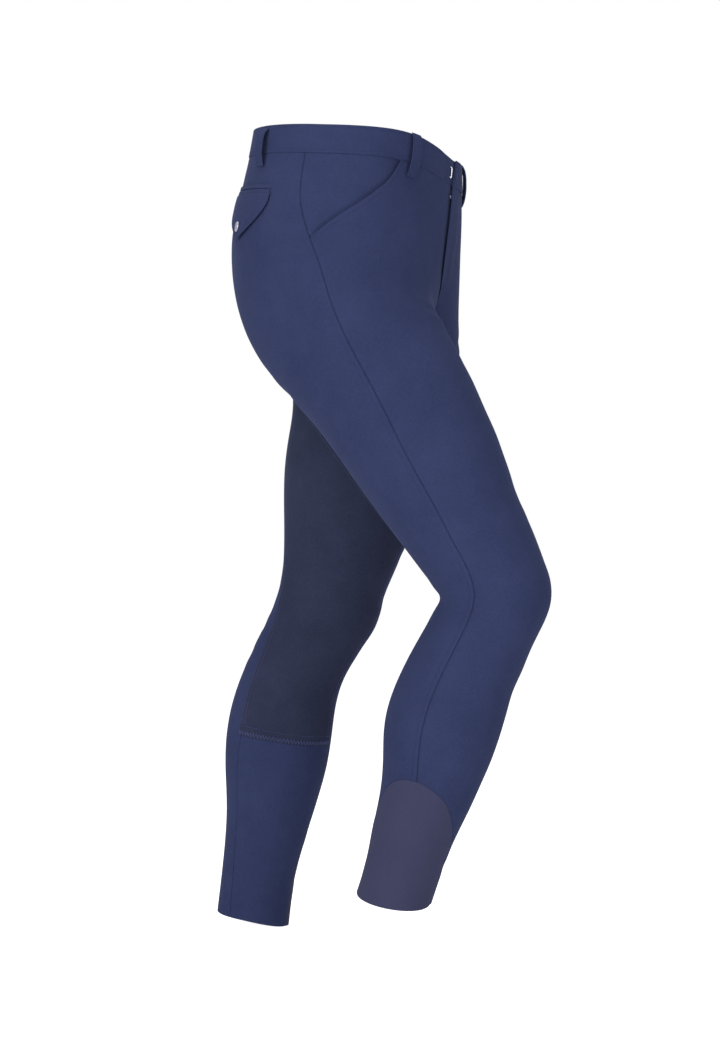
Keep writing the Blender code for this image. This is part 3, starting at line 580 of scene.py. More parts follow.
def cloth_finish(name, colour, deep, roughness, sheen, sheen_roughness, sheen_tint):
    """A cloth's base: soft cloudy colour, fine fibre, and the shader's own sheen."""
    made, shader = new_material(name)
    shader.inputs["Roughness"].default_value = roughness
    shader.inputs["Specular IOR Level"].default_value = CLOTH_SHINE
    shader.inputs["Sheen Weight"].default_value = sheen
    shader.inputs["Sheen Roughness"].default_value = sheen_roughness
    shader.inputs["Sheen Tint"].default_value = (*sheen_tint, 1)
    place = add_node(made, "ShaderNodeTexCoord").outputs["Object"]
    cloud = add_node(made, "ShaderNodeTexNoise", Vector=place, Scale=16.0, Detail=4.0, Roughness=0.68)
    fibre = add_node(made, "ShaderNodeTexNoise", Vector=place, Scale=420.0, Detail=3.0, Roughness=0.7)
    both = blended(made, cloud.outputs["Fac"], 1.0, fibre.outputs["Fac"])
    spread = add_node(made, "ShaderNodeMapRange", {"clamp": True}, Value=both, From_Min=0.7, From_Max=1.3)
    dyed = two_colours(made, spread.outputs[0], deep, colour)
    made.node_tree.links.new(dyed, shader.inputs["Base Color"])
    return made, shader, fibre.outputs["Fac"]


def twill(name, colour, deep):
    """Stretch twill: fine diagonal ribs on a matt face that lies a little uneven."""
    made, shader, fibre = cloth_finish(name, colour, deep, roughness=0.9, sheen=0.06, sheen_roughness=0.5,
                                       sheen_tint=(0.6, 0.68, 1.0))
    weave = add_node(made, "ShaderNodeUVMap", {"uv_map": "cloth"}).outputs["UV"]
    turned = add_node(made, "ShaderNodeMapping", Vector=weave, Rotation=(0, 0, math.radians(TWILL_LEAN)))
    ribs = ribs_across(made, turned.outputs[0], TWILL_RIBS, Distortion=0.6, Detail=1.0)
    place = add_node(made, "ShaderNodeTexCoord").outputs["Object"]
    slack = add_node(made, "ShaderNodeTexNoise", Vector=place, Scale=70.0, Detail=2.5, Roughness=0.6)
    soft = add_node(made, "ShaderNodeBump", Strength=1.0, Distance=0.4 * MM, Height=slack.outputs["Fac"])
    in_relief(made, shader, blended(made, fibre, 0.8, ribs), strength=0.25, deep=0.12,
              Normal=soft.outputs[0])
    return made


def thread(name, colour, deep):
    """Sewing thread with a slight lustre."""
    return cloth_finish(name, colour, deep, roughness=0.6, sheen=0.2, sheen_roughness=0.4,
                        sheen_tint=(0.6, 0.65, 1.0))[0]


def laid_in_rows(name, kind, smooth, **settings):
    """A tree that lays one small shape end over end along every line it is given."""
    tree = bpy.data.node_groups.new(name, "GeometryNodeTree")
    for label, socket in (("Lines", "Geometry"), ("Pitch", "Float"), ("Size", "Vector"),
                          ("Finish", "Material")):
        tree.interface.new_socket(label, in_out="INPUT", socket_type="NodeSocket" + socket)
    tree.interface.new_socket("Pieces", in_out="OUTPUT", socket_type="NodeSocketGeometry")
    add, link = tree.nodes.new, tree.links.new
    given, made = add("NodeGroupInput"), add("NodeGroupOutput")
    points, shape, lay = add("GeometryNodeCurveToPoints"), add(kind), add("GeometryNodeInstanceOnPoints")
    shade, real = add("GeometryNodeSetShadeSmooth"), add("GeometryNodeRealizeInstances")
    colour = add("GeometryNodeSetMaterial")
    points.mode = "LENGTH"
    shade.inputs["Shade Smooth"].default_value = smooth
    for label, value in settings.items():
        shape.inputs[label].default_value = value
    link(given.outputs["Lines"], points.inputs["Curve"])
    link(given.outputs["Pitch"], points.inputs["Length"])
    link(points.outputs["Points"], lay.inputs["Points"])
    link(points.outputs["Rotation"], lay.inputs["Rotation"])
    link(shape.outputs["Mesh"], lay.inputs["Instance"])
    link(given.outputs["Size"], lay.inputs["Scale"])
    link(lay.outputs["Instances"], shade.inputs["Geometry"])
    link(shade.outputs[0], real.inputs["Geometry"])
    link(real.outputs["Geometry"], colour.inputs["Geometry"])
    link(given.outputs["Finish"], colour.inputs["Material"])
    link(colour.outputs[0], made.inputs[0])
    return tree


def lay_along(name, lines, tree, **values):
    """What a tree lays along lines of points in millimetres, made one plain mesh."""
    curve = bpy.data.curves.new(name + "_lines", "CURVE")
    curve.dimensions = "3D"
    for line in lines:
        run = curve.splines.new("POLY")
        run.points.add(len(line) - 1)
        run.points.foreach_set("co", np.hstack([line * MM, np.ones((len(line), 1))]).ravel())
    guide = add_object(name + "_lines", curve)
    rows = guide.modifiers.new("rows", "NODES")
    rows.node_group = tree
    for item in tree.interface.items_tree:
        if item.name in values:
            rows[item.identifier] = values[item.name]
    graph = bpy.context.evaluated_depsgraph_get()
    mesh = bpy.data.meshes.new_from_object(guide.evaluated_get(graph), depsgraph=graph)
    bpy.data.objects.remove(guide)
    bpy.data.curves.remove(curve)
    mesh.name = name
    made = add_object(name, mesh)
    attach(made, "root")
    return made


def sew(name, lines, finish, pitch=3.2, length=2.7, width=0.5):
    """Rows of stitches: long grains, end to end with a small gap."""
    size = (width * MM, width * MM, length * MM)
    made = lay_along(name, lines, STITCHING, Pitch=pitch * MM, Size=size, Finish=finish)
    return made


def along_edge(side, edge, down, inset, lift):
    """A line that runs beside an edge, an inset in from it in millimetres, on the cloth."""
    angle = edge(down) + inset * square_to(side, edge, down)
    return on_cloth(side, down, angle, np.full(len(down), lift))[0]


def front_edge(down):
    """Outer edge of the front: pocket slant, side seam, then the front of the ankle arch."""
    arch = arch_front(np.sqrt(np.maximum(down - ARCH_TOP, 0)))
    return np.where(down < SLANT_END, slant(down), np.where(down > ARCH_TOP, arch, side_seam(down)))


def back_edge(down):
    """Outer edge of the back: side seam, then the back of the ankle arch."""
    arch = arch_back(np.sqrt(np.maximum(down - ARCH_TOP, 0)))
    return np.where(down > ARCH_TOP, arch, side_seam(down))


def left_front_start(down):
    """First angle of the left front: the fly's lap, then the middle, then the inseam."""
    return np.where(down < FORK, angle_at("left", down, -fly_lap(down)), first_angle(down))


def puckers(down, angles, edge, depth):
    """Small gathers that a row of stitches leaves in the cloth beside it."""
    away = np.abs(angles - edge(down)[:, None]) * np.radians(1) * radius(down[:, None], angles)
    wave = np.sin(down / 2.3 + 1.7 * np.sin(down / 31)) + 0.6 * np.sin(down / 3.9 + 2)
    return depth * wave[:, None] * swell(away - STITCH_IN, 4.0)


STITCHING = laid_in_rows("stitching", "GeometryNodeMeshUVSphere", True, Segments=6, Rings=4, Radius=0.5)
NAVY_TWILL = twill("navy_twill", NAVY, NAVY_DEEP)
THREAD = thread("navy_thread", THREAD_BLUE, THREAD_DEEP)
# more rows of points, close together round the top of the arch
apex_rows = ARCH_TOP + np.array([-1.8, -1, -0.5, -0.15, 0, 0.15, 0.5, 1, 1.7, 2.6, 3.8, 5.2, 7])
panel_down, panel_in = rows_between(BAND_DEPTH, LENGTH, extra=apex_rows)
hem_wall = CLOTH + HEM_EXTRA * easing((panel_down - (LENGTH - HEM_FOLD)) / HEM_STEP)
for side in ("right", "left"):
    start = first_angle if side == "right" else left_front_start
    below_slant = easing((panel_down - SLANT_END) / SEAM_STARTS)
    below_fly = 1.0 if side == "right" else easing((panel_down - FLY_END + FLY_SEAM) / FLY_SEAM)
    beside_arch = easing((panel_down - ARCH_TOP + FRONT_ARCH_EASE) / FRONT_ARCH_EASE)
    seamed = below_slant * (1 - (1 - ARCH_SEAM) * beside_arch)
    angles, inset, dip = columns(side, panel_down, start, front_edge, FRONT_COLUMNS, (below_fly, 0),
                                 (seamed, 1 - below_slant))
    lift = puckers(panel_down, angles, front_edge, FRONT_GATHERS) * (1 - below_slant)[:, None]
    start_angle = first_angle(panel_down)
    x = np.radians(angles - start_angle[:, None]) * radius(panel_down, start_angle)[:, None]
    if side == "left":
        rise = easing((fly_line(panel_down)[:, None] - x) / LAP_EASE) * fly_height(panel_down)[:, None]
        lift = lift + np.where(panel_down[:, None] < FORK, rise, 0)
    else:
        under = 1 - easing((x - fly_lap(panel_down)[:, None]) / UNDER_EASE)
        lift = lift - UNDER_LAP * under * easing((FLY_END - FLY_SEAM - panel_down[:, None]) / LAP_SHUTS)
    front = sew_piece("front_cloth_" + side, side, panel_down, angles, lift, hem_wall[:, None], inset,
                      panel_in, SEAM_ROLL, NAVY_TWILL, dip)
    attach(front, "root")
    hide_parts(*(["front_right"] if side == "right" else ["front_left", "fly_left"]))

    above_arch = 1 - easing((panel_down - ARCH_TOP + BACK_ARCH_EASE) / BACK_ARCH_EASE)
    seamed = ARCH_SEAM + (1 - ARCH_SEAM) * above_arch
    angles, inset, dip = columns(side, panel_down, back_edge, last_angle, BACK_COLUMNS,
                                 (seamed, above_arch), (1, 0))
    lift = puckers(panel_down, angles, back_edge, BACK_GATHERS) * above_arch[:, None]
    back = sew_piece("back_cloth_" + side, side, panel_down, angles, lift, hem_wall[:, None], inset,
                     panel_in, SEAM_ROLL, NAVY_TWILL, dip)
    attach(back, "root")
    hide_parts("back_" + side)

seam_down = np.arange(BAND_DEPTH + 3, ARCH_TOP - 1, 2.0)
sew("side_seam_thread", [along_edge(side, side_seam, seam_down, STITCH_IN, -STITCH_SINK)
                         for side in ("right", "left")], THREAD)


# ----------------------------------------------------------------------- slant pockets
# Each front is cut away on a slant from the band to the side seam. The cloth seen behind
# it is the pocket's facing, the same twill, set a little lower under the front's edge and
# sewn into the side seam. A stitched row and a bartack hold the opening's two ends.
FACING_UNDER, FACING_COLUMNS = 8.0, 26   # the facing carries on this far under the front's edge
FACING_SUNK, FACING_EASE = 1.45, 26.0   # its face lies this far below, and is level again over this much
FACING_SLACK, SLACK_EASE = 2.2, 7.0     # and this much more right at the front's edge
SLACK_GROWS = 12.0                # where the facing is wider than this, it has all of that slack
# the bartack at the slant's end
TACK_LINES, TACK_LONG, TACK_WIDE, TACK_LEAN, TACK_LIFT = 7, 6.0, 1.6, 40.0, 0.15


def facing_edge(side):
    """Where the facing begins, under the front's edge."""
    return lambda down: slant(down) - FACING_UNDER * square_to(side, slant, down)


def bartack(side, down, angle):
    """Lines of close stitches to and fro across a seam's end, on a lean."""
    lines, turn, ends = [], math.radians(TACK_LEAN), np.array([-0.5, 0.5]) * TACK_WIDE
    for along in np.linspace(-0.5, 0.5, TACK_LINES) * TACK_LONG:
        dz = along * math.cos(turn) - ends * math.sin(turn)
        dx = along * math.sin(turn) + ends * math.cos(turn)
        lines.append(on_cloth(side, down + dz, angle + np.degrees(dx / radius(down, angle)), TACK_LIFT)[0])
    return lines


facing_down, facing_in = rows_between(BAND_DEPTH, SLANT_END - 1.0, step=3.0)
for side in ("right", "left"):
    angles, inset, dip = columns(side, facing_down, facing_edge(side), side_seam, FACING_COLUMNS, (0, 0),
                                 (1, 0))
    degrees_each = square_to(side, slant, facing_down)[:, None]
    beyond = (angles - slant(facing_down)[:, None]) / degrees_each
    shows = (side_seam(facing_down) - slant(facing_down))[:, None] / degrees_each
    sinks = 1 - easing(beyond / np.clip(shows * 0.8, 1.0, FACING_EASE))
    slack = 1 - easing(beyond / np.clip(shows * 0.5, 0.5, SLACK_EASE))
    lift = -FACING_SUNK * sinks - FACING_SLACK * slack * easing(shows / SLACK_GROWS)
    facing = sew_piece("pocket_facing_cloth_" + side, side, facing_down, angles, lift, CLOTH, inset,
                       facing_in, SEAM_ROLL, NAVY_TWILL, dip)
    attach(facing, "root")
    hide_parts("pocket_facing_" + side)

slant_down = np.linspace(BAND_DEPTH + 2, SLANT_END - 4, 60)
slant_rows, tacks = [], []
for side in ("right", "left"):
    slant_rows.append(along_edge(side, slant, slant_down, -STITCH_IN, -STITCH_SINK))
    tacks += bartack(side, SLANT_END - 2, float(slant(np.array(SLANT_END - 2))) - 1.0)
sew("slant_pocket_thread", slant_rows, THREAD)
sew("slant_pocket_bartacks", tacks, THREAD, pitch=1.5, length=1.7, width=0.55)


# ----------------------------------------------------------------------- ankle inserts
# A plum-grey panel of fine stretch knit over the outer half of each ankle, arched at its
# top, let into the twill with a plain seam, so that the leg lies close under a boot.
PLUM, PLUM_DEEP = (0.056, 0.059, 0.120), (0.048, 0.051, 0.105)
KNIT_RIBS, INSERT_COLUMNS = 0.9, 44   # the ribs' distance apart, the insert's columns of points


def stretch_knit(name, colour, deep):
    """Fine ribs along the leg, on a smooth dull face."""
    made, shader, fibre = cloth_finish(name, colour, deep, roughness=0.85, sheen=0.05, sheen_roughness=0.5,
                                       sheen_tint=(0.7, 0.7, 1.0))
    weave = add_node(made, "ShaderNodeUVMap", {"uv_map": "cloth"}).outputs["UV"]
    ribs = ribs_across(made, weave, KNIT_RIBS, Distortion=0.3)
    in_relief(made, shader, blended(made, fibre, 0.6, ribs), strength=0.2, deep=0.1)
    return made


PLUM_KNIT = stretch_knit("plum_knit", PLUM, PLUM_DEEP)
insert_down = rows_between(ARCH_TOP, LENGTH, extra=apex_rows[5:])[0]
insert_in = LENGTH - insert_down                       # the arch's edges already close its top
insert_wall = CLOTH + HEM_EXTRA * easing((insert_down - (LENGTH - HEM_FOLD)) / HEM_STEP)
for side in ("right", "left"):
    angles, inset, dip = columns(side, insert_down, front_edge, back_edge, INSERT_COLUMNS, (ARCH_SEAM, 0),
                                 (ARCH_SEAM, 0))
    insert = sew_piece("ankle_insert_knit_" + side, side, insert_down, angles, 0.0, insert_wall[:, None],
                       inset, insert_in, SEAM_ROLL, PLUM_KNIT, dip)
    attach(insert, "root")
    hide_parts("ankle_insert_" + side)


# ------------------------------------------------------------------------ grip patches
# Napped suede cloth laid over the inner thigh, knee and upper calf, across the inseam.
# Two rows of stitches hold its long edges; a dense zigzag closes its lower edge, with one
# straight row above it.
SUEDE, SUEDE_DEEP = (0.037, 0.044, 0.088), (0.026, 0.031, 0.063)
PALE_BLUE, PALE_DEEP = (0.095, 0.108, 0.245), (0.065, 0.075, 0.18)
PATCH_TOP, PATCH_END, PATCH_CLOTH = 275.0, 766.0, 1.2
PATCH_LIFT, PATCH_ROLL = 1.6, 1.2   # its outer face stands this far off the panels, and its edge rolls
# down, reach of the patch forward and backward of the innermost line
PATCH = [(262, 60, 75), (330, 72, 75), (420, 84, 73), (490, 88, 66), (566, 88, 54), (620, 88, 41),
         (663, 88, 34), (707, 88, 31.5), (766, 88, 29)]
INNERMOST = -90.0                 # angle of the leg's innermost line
PATCH_TURN = {"left": 0.0, "right": 28.0}   # turned back this far, as its leg is turned out
TURN_EASE = 90.0                  # and turned fully from this much below the fork
PATCH_ROWS_IN = (1.6, 6.3)        # the two rows of stitches, in from the edge
ZIGZAG_HIGH, ZIGZAG_STEP, PLAIN_ROW_UP = 6.4, 2.3, 12.6
ZIGZAG_DIP, PLAIN_DIP = 0.35, 0.45   # grooves above the zigzag and along the straight row
PATCH_ENDS_LOWER = 0.078          # the lower edge drops towards the back, this much for each degree
PATCH_LEVEL, PATCH_DROPS = -71.0, 560.0   # from this angle, more and more from this level on
PATCH_CUT, PATCH_AREA, PATCH_COLUMNS = (0.235, 0.49), 0.098, 52
patch_forward, patch_backward = steady(PATCH, 1), steady(PATCH, 2)


def patch_edge(side, reach):
    """The patch's front or back edge, from its reach forward of the innermost line."""
    return lambda down: INNERMOST + reach(down) - PATCH_TURN[side] * easing((down - FORK) / TURN_EASE)


def dropped(down, angles):
    """Levels lowered towards the patch's back edge, more and more near its end."""
    lower = easing((down - PATCH_DROPS) / (PATCH_END - PATCH_DROPS))
    return down + PATCH_ENDS_LOWER * (PATCH_LEVEL - angles) * lower


def suede(name, colour, deep):
    """A short nap, brushed down the leg: soft streaks and a fine grain."""
    made, shader, fibre = cloth_finish(name, colour, deep, roughness=1.0, sheen=0.12, sheen_roughness=0.35,
                                       sheen_tint=(0.6, 0.7, 1.0))
    weave = add_node(made, "ShaderNodeUVMap", {"uv_map": "cloth"}).outputs["UV"]
    drawn = add_node(made, "ShaderNodeMapping", Vector=weave, Scale=(1.0, 0.25, 1.0))
    nap = add_node(made, "ShaderNodeTexNoise", Vector=drawn.outputs[0], Scale=900.0, Detail=4.0,
                   Roughness=0.75)
    in_relief(made, shader, blended(made, fibre, 1.0, nap.outputs["Fac"]), strength=0.4, deep=0.25)
    return made


NAVY_SUEDE = suede("navy_suede", SUEDE, SUEDE_DEEP)
beside_rows = np.concatenate([ZIGZAG_HIGH + np.array([0, 0.8, 1.6]),
                              PLAIN_ROW_UP + np.array([-2, -1, -0.3, 0, 0.3, 1, 2.4])])
patch_down, patch_in = rows_between(PATCH_TOP, PATCH_END, extra=PATCH_END - beside_rows)
patch_rows, zigzags = [], []
for side in ("right", "left"):
    patch_front = patch_edge(side, patch_forward)
    patch_back = patch_edge(side, lambda down: -patch_backward(down))
    angles, inset, dip = columns(side, patch_down, patch_back, patch_front, PATCH_COLUMNS, (0, 1), (0, 1))
    plain_dip = PLAIN_DIP * swell(PATCH_END - patch_down - PLAIN_ROW_UP, 0.9)
    zigzag_dip = ZIGZAG_DIP * swell(PATCH_END - patch_down - ZIGZAG_HIGH - 1.0, 0.8)
    lift = PATCH_LIFT - (plain_dip + zigzag_dip)[:, None]
    patch = sew_piece("grip_patch_suede_" + side, side, dropped(patch_down[:, None], angles), angles, lift,
                      PATCH_CLOTH, inset, patch_in, PATCH_ROLL, NAVY_SUEDE, dip)
    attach(patch, "root")
    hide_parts("grip_patch_" + side)
    edge_down = np.arange(PATCH_TOP + 2, PATCH_END - PLAIN_ROW_UP, 2.0)
    for row_in in PATCH_ROWS_IN:
        patch_rows.append(along_edge(side, patch_front, edge_down, -row_in, PATCH_LIFT - 0.1))
        patch_rows.append(along_edge(side, patch_back, edge_down, row_in, PATCH_LIFT - 0.1))
    for up, inside_edge in ((PLAIN_ROW_UP, 4.0), (ZIGZAG_HIGH / 2 + 0.6, 0.3)):
        down = PATCH_END - up
        step = np.degrees(1 / radius(down, INNERMOST))
        first, last = (float(edge(np.array(down))) for edge in (patch_back, patch_front))
        around = np.arange(first + inside_edge * step, last - inside_edge * step, ZIGZAG_STEP * step)
        if up == PLAIN_ROW_UP:
            patch_rows.append(on_cloth(side, dropped(down, around), around, PATCH_LIFT - 0.3)[0])
        else:
            sway = np.where(np.arange(len(around)) % 2, 0.5, -0.5) * ZIGZAG_HIGH
            zigzags.append(on_cloth(side, dropped(down + sway, around), around, PATCH_LIFT + 0.1)[0])
PALE_THREAD = thread("pale_navy_thread", PALE_BLUE, PALE_DEEP)
sew("grip_patch_thread", patch_rows, PALE_THREAD, width=0.6)


def zigzag_stitches(lines):
    """Each run of the zigzag from corner to corner, one stitch to a run. The pitch is so
    long that a stitch is laid at a line's start only, halfway along its run."""
    for line in lines:
        for a, b in zip(line, line[1:]):
            yield np.array([a + (b - a) * 0.5, b + (b - a) * 0.02])


sew("grip_patch_zigzag", list(zigzag_stitches(zigzags)), PALE_THREAD, pitch=60.0, length=ZIGZAG_HIGH,
    width=0.85)


# --------------------------------------------------------------------------- waistband
# A straight band 35 mm high, two layers of twill over a stiffening, in two halves joined
# at the middle of the back. It is topstitched along both edges. The left end laps over
# the right in front, and the right end carries on beneath it.
BAND_CLOTH, BAND_PROUD = 3.0, 0.8
BAND_TIP, BAND_SLANT, BAND_UNDERLAP = -6.0, 14.0, 28.0
LAP_FROM, LAP_STEP = 50.0, 6.0    # the lap bends away this far from the middle
LAP_RISE, RISE_EASE = 1.8, 30.0   # the left end rises this much, over this much
LAP_SINK, SINK_EASE = 1.6, 26.0   # and the right end sinks this much beneath it
TIP_SINK = 0.6                    # its tip a little more
BAND_ROLL = 1.3
BAND_ROWS = (3.2, 31.0)           # the two rows of stitches, down from the waist edge
ROW_START, ROW_STOP = 1.125, 0.225   # degrees of angle left free at the rows' two ends
ROW_POINTS, ROW_SINK = 240, 0.12  # a row's points, and how deep its thread lies
ROW_DIP, PULL = 0.3, 0.05         # depth of the groove along a row, and of the gathers by the lower one
# stitches that hold the hook behind the left end
HOOK_TACK_X, HOOK_TACK_DOWN, HOOK_TACK_HALF, HOOK_TACK_LIFT = 2.6, 19.5, 3.0, 0.7
BAND_CUT, BAND_AREA, BAND_COLUMNS = (0.49, 0.036), 0.0173, 150


def band_end(side):
    """First angle of each half of the band: the left one's tip is cut on a slant."""
    if side == "left":
        return lambda down: angle_at(side, down, -(BAND_TIP + BAND_SLANT * down / BAND_DEPTH))
    return lambda down: angle_at(side, down, -BAND_UNDERLAP + 0 * down)


def band_lift(side, down, angles):
    """How far the band's outer face stands off the form."""
    x = np.radians(angles - first_angle(down)) * radius(down, first_angle(down))
    if side == "left":
        return BAND_PROUD + LAP_RISE * easing((LAP_FROM - x) / RISE_EASE)
    sinks = LAP_SINK * easing((LAP_FROM - LAP_STEP - x) / SINK_EASE)
    return BAND_PROUD - sinks - TIP_SINK * easing(-x / BAND_UNDERLAP)


def band_row(side, at):
    """A row of stitches round one half of the band, from just inside its two ends."""
    down = np.full(ROW_POINTS, at)
    first, last = float(band_end(side)(np.array(at))), float(last_angle(np.array(at)))
    angle = np.linspace(first + ROW_START, last - ROW_STOP, len(down))
    return on_cloth(side, down, angle, band_lift(side, down, angle) - ROW_SINK)[0]


band_down, band_in = rows_between(0.0, BAND_DEPTH, step=3.2, roll=BAND_ROLL,
                                  extra=[at + off for at in BAND_ROWS for off in (-0.9, -0.4, 0, 0.4, 0.9)])
band_rows = []
for side in ("left", "right"):
    angles, inset, dip = columns(side, band_down, band_end(side), last_angle, BAND_COLUMNS, (0, 0), (0.6, 0))
    groove = sum(ROW_DIP * swell(band_down - at, 0.7) for at in BAND_ROWS)
    beside = swell(band_down - BAND_ROWS[1], 5)[:, None]
    pull = PULL * np.sin(angles * 4.1 + 3 * np.sin(angles / 7)) * beside
    lift = band_lift(side, band_down[:, None], angles) - groove[:, None] + pull
    band = sew_piece("waistband_cloth_" + side, side, band_down, angles, lift, BAND_CLOTH - groove[:, None],
                     inset, band_in, BAND_ROLL, NAVY_TWILL, dip)
    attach(band, "root")
    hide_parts("waistband_" + side)
    band_rows += [band_row(side, at) for at in BAND_ROWS]
sew("waistband_thread", band_rows, THREAD)
tack_down = HOOK_TACK_DOWN + np.linspace(-HOOK_TACK_HALF, HOOK_TACK_HALF, 13)
hook_tack = []
for off in (-1.4, -0.7, 0.0, 0.7, 1.4):
    angle = angle_at("left", tack_down, HOOK_TACK_X + off)
    lift = band_lift("left", tack_down, angle) + HOOK_TACK_LIFT
    hook_tack.append(on_cloth("left", tack_down, angle, lift)[0])
sew("waistband_hook_tack", hook_tack, PALE_THREAD, pitch=0.9, length=1.3, width=0.55)


# -------------------------------------------------------------------------- belt loops
# Four loops of folded twill, 14.5 mm wide and stitched along both sides, bowed out over the
# band and tacked down above and below it.
LOOP_WIDE, LOOP_THICK, LOOP_ROLL = 14.5, 1.6, 0.8
LOOP_ROW_IN, LOOP_GROOVE = 2.1, 0.4   # the stitched rows, in from the sides, and their groove's depth
LOOP_TACK, LOOP_FOOT = 12.4, 49.5     # width of the tacks, and the lower one's place
TACK_APART = 0.35                 # a tack's two lines lie this far above and below its middle
LAP_LOOP_THICK = 2.1              # the loop beside the lap is folded thicker
# down, how far the inner face stands off the form
FRONT_BOW = [(-0.5, 1.2), (3, 3.4), (9, 5.5), (18, 6.4), (28, 6.4), (37, 5.7), (44, 4.5), (49, 3.0),
             (52.5, 1.5)]
BACK_BOW = [(4.5, 1.2), (8, 4.2), (13, 6.6), (20, 7.8), (29, 7.8), (38, 6.6), (45, 4.6), (49.5, 2.6),
            (52, 1.3)]
# name, how it bows, angle at the top, angle at the bottom
LOOP_PLACES = [("front", FRONT_BOW, 34.0, 36.0), ("back", BACK_BOW, 124.0, 122.2)]
loop_rows, loop_tacks = [], []
for place, bow, top, bottom in LOOP_PLACES:
    loop_bow = steady(bow, 1)
    loop_down, loop_in = rows_between(bow[0][0], bow[-1][0], step=1.6, roll=LOOP_ROLL)

    def loop_middle(down):
        return top + (bottom - top) * down / bow[-1][0]

    for side in ("right", "left"):
        across = np.array([0, 0.03, 0.12, 0.3, 0.6, 1.2, 1.8, 2.1, 2.4, 3.2, 4.8, LOOP_WIDE / 2])
        across = np.concatenate([across, LOOP_WIDE - across[-2::-1]])
        middle = loop_middle(loop_down)[:, None]
        angles = middle + np.degrees((across - LOOP_WIDE / 2) / radius(loop_down[:, None], middle))
        inset = np.minimum(across, LOOP_WIDE - across)
        groove = LOOP_GROOVE * swell(inset - LOOP_ROW_IN, 0.5)
        lift = loop_bow(loop_down)[:, None] + LOOP_THICK - groove
        thick = LAP_LOOP_THICK if (place, side) == ("front", "left") else LOOP_THICK
        loop = sew_piece("belt_loop_cloth_%s_%s" % (place, side), side, loop_down, angles, lift, thick,
                         inset, loop_in, LOOP_ROLL, NAVY_TWILL)
        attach(loop, "root")
        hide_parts("belt_loop_%s_%s" % (place, side))
        down = np.arange(bow[0][0] + 1.5, 51.0, 1.0)
        for x in (LOOP_ROW_IN - LOOP_WIDE / 2, LOOP_WIDE / 2 - LOOP_ROW_IN):
            angle = loop_middle(down) + np.degrees(x / radius(down, loop_middle(down)))
            loop_rows.append(on_cloth(side, down, angle, loop_bow(down) + LOOP_THICK - 0.1)[0])
        for at in (bow[0][0] + 2.5, LOOP_FOOT):
            down, x = np.full(9, at), np.linspace(-0.5, 0.5, 9) * LOOP_TACK
            angle = loop_middle(down) + np.degrees(x / radius(down, loop_middle(down)))
            for off in (-TACK_APART, TACK_APART):
                loop_tacks.append(on_cloth(side, down + off, angle, loop_bow(down + off) + LOOP_THICK)[0])
sew("belt_loop_thread", loop_rows, THREAD, pitch=2.8, length=2.3, width=0.45)
sew("belt_loop_bartacks", loop_tacks, THREAD, pitch=0.9, length=1.3, width=0.5)


# ----------------------------------------------------------------- fly, zip and closure
# The left front's lap hides a zip of small metal teeth on a narrow woven tape. The
# slider's pull lies across, its tip just outside the lap. A bent wire bar on the right end
# of the band takes the hook on the left end, which the lap hides.
ZIP_TOP, ZIP_END, ZIP_MIDDLE = 44.0, 146.0, 5.5
TAPE_SPAN, TAPE_UNDER, TAPE_WALL = (-9.0, 11.0), 1.6, 0.8
TAPE_BLUE, TAPE_DEEP = (0.020, 0.024, 0.060), (0.014, 0.017, 0.045)
NICKEL, GUNMETAL, SNAP_GREY = (0.9, 0.91, 0.94), (0.14, 0.155, 0.20), (0.36, 0.36, 0.46)
TOOTH, TOOTH_PITCH, TEETH_LIFT = (2.2, 1.0, 0.9), 1.5, 0.4
SLIDER_BODY, SLIDER_PLATE, SLIDER_POST = (7.0, 11.0, 2.6), 1.0, (1.8, 6.0, 1.6)
SLIDER_DOWN, SLIDER_LIFT = 47.5, -1.0
PULL_SIZE, PULL_X, PULL_LIFT = (22.0, 4.2, 0.9), -3.5, 0.4
BAR_X, BAR_DOWN, BAR_LIFT, BAR_HALF, BAR_REACH, BAR_WIRE = 9.5, 19.5, 0.9, 6.6, 4.5, 1.6
BAR_LEAN = -18.0                  # the bar lies along the lap's slanted end, in degrees
FLY_ROWS = (0.0, -1.6)            # the rows of stitches that hold the lap, off its line


def metal(name, colour, roughness):
    """A plated face with a fine brushed unevenness."""
    made, shader = new_material(name)
    shader.inputs["Metallic"].default_value = 1.0
    place = add_node(made, "ShaderNodeTexCoord").outputs["Object"]
    grain = add_node(made, "ShaderNodeTexNoise", Vector=place, Scale=900.0, Detail=2.0).outputs["Fac"]
    tone = two_colours(made, grain, [c * 0.85 for c in colour], colour)
    rough = add_node(made, "ShaderNodeMapRange", Value=grain, To_Min=roughness, To_Max=roughness + 0.15)
    made.node_tree.links.new(tone, shader.inputs["Base Color"])
    made.node_tree.links.new(rough.outputs[0], shader.inputs["Roughness"])
    return made


def frame_on_front(side, down, x, lift):
    """A place on the front: its z outward, its y down the cloth, in metres."""
    down, x = np.array([down - 1.0, down, down + 1.0]), np.full(3, float(x))
    points, normals = on_cloth(side, down, angle_at(side, down, x), 0.0)
    return standing_on(points, normals, lift)


def standing_on(points, normals, lift):
    """The same from three points down the cloth and the normals there."""
    out, along = normals[1], points[2] - points[0]
    along = along - out * np.dot(along, out)
    along /= np.linalg.norm(along)
    across = np.cross(along, out)
    place = (points[1] + out * lift) * MM
    return Matrix([[across[i], along[i], out[i], place[i]] for i in range(3)] + [[0, 0, 0, 1]])


def small_block(shape, size, centre, bevel):
    """A block with rounded edges, added to a shape; sizes in millimetres."""
    made = bmesh.ops.create_cube(shape, size=1.0)["verts"]
    bmesh.ops.scale(shape, vec=Vector(size) * MM, verts=made)
    bmesh.ops.translate(shape, vec=Vector(centre) * MM, verts=made)
    edges = list({edge for vert in made for edge in vert.link_edges})
    bmesh.ops.bevel(shape, geom=edges, offset=bevel * MM, segments=3, profile=0.5, affect="EDGES")


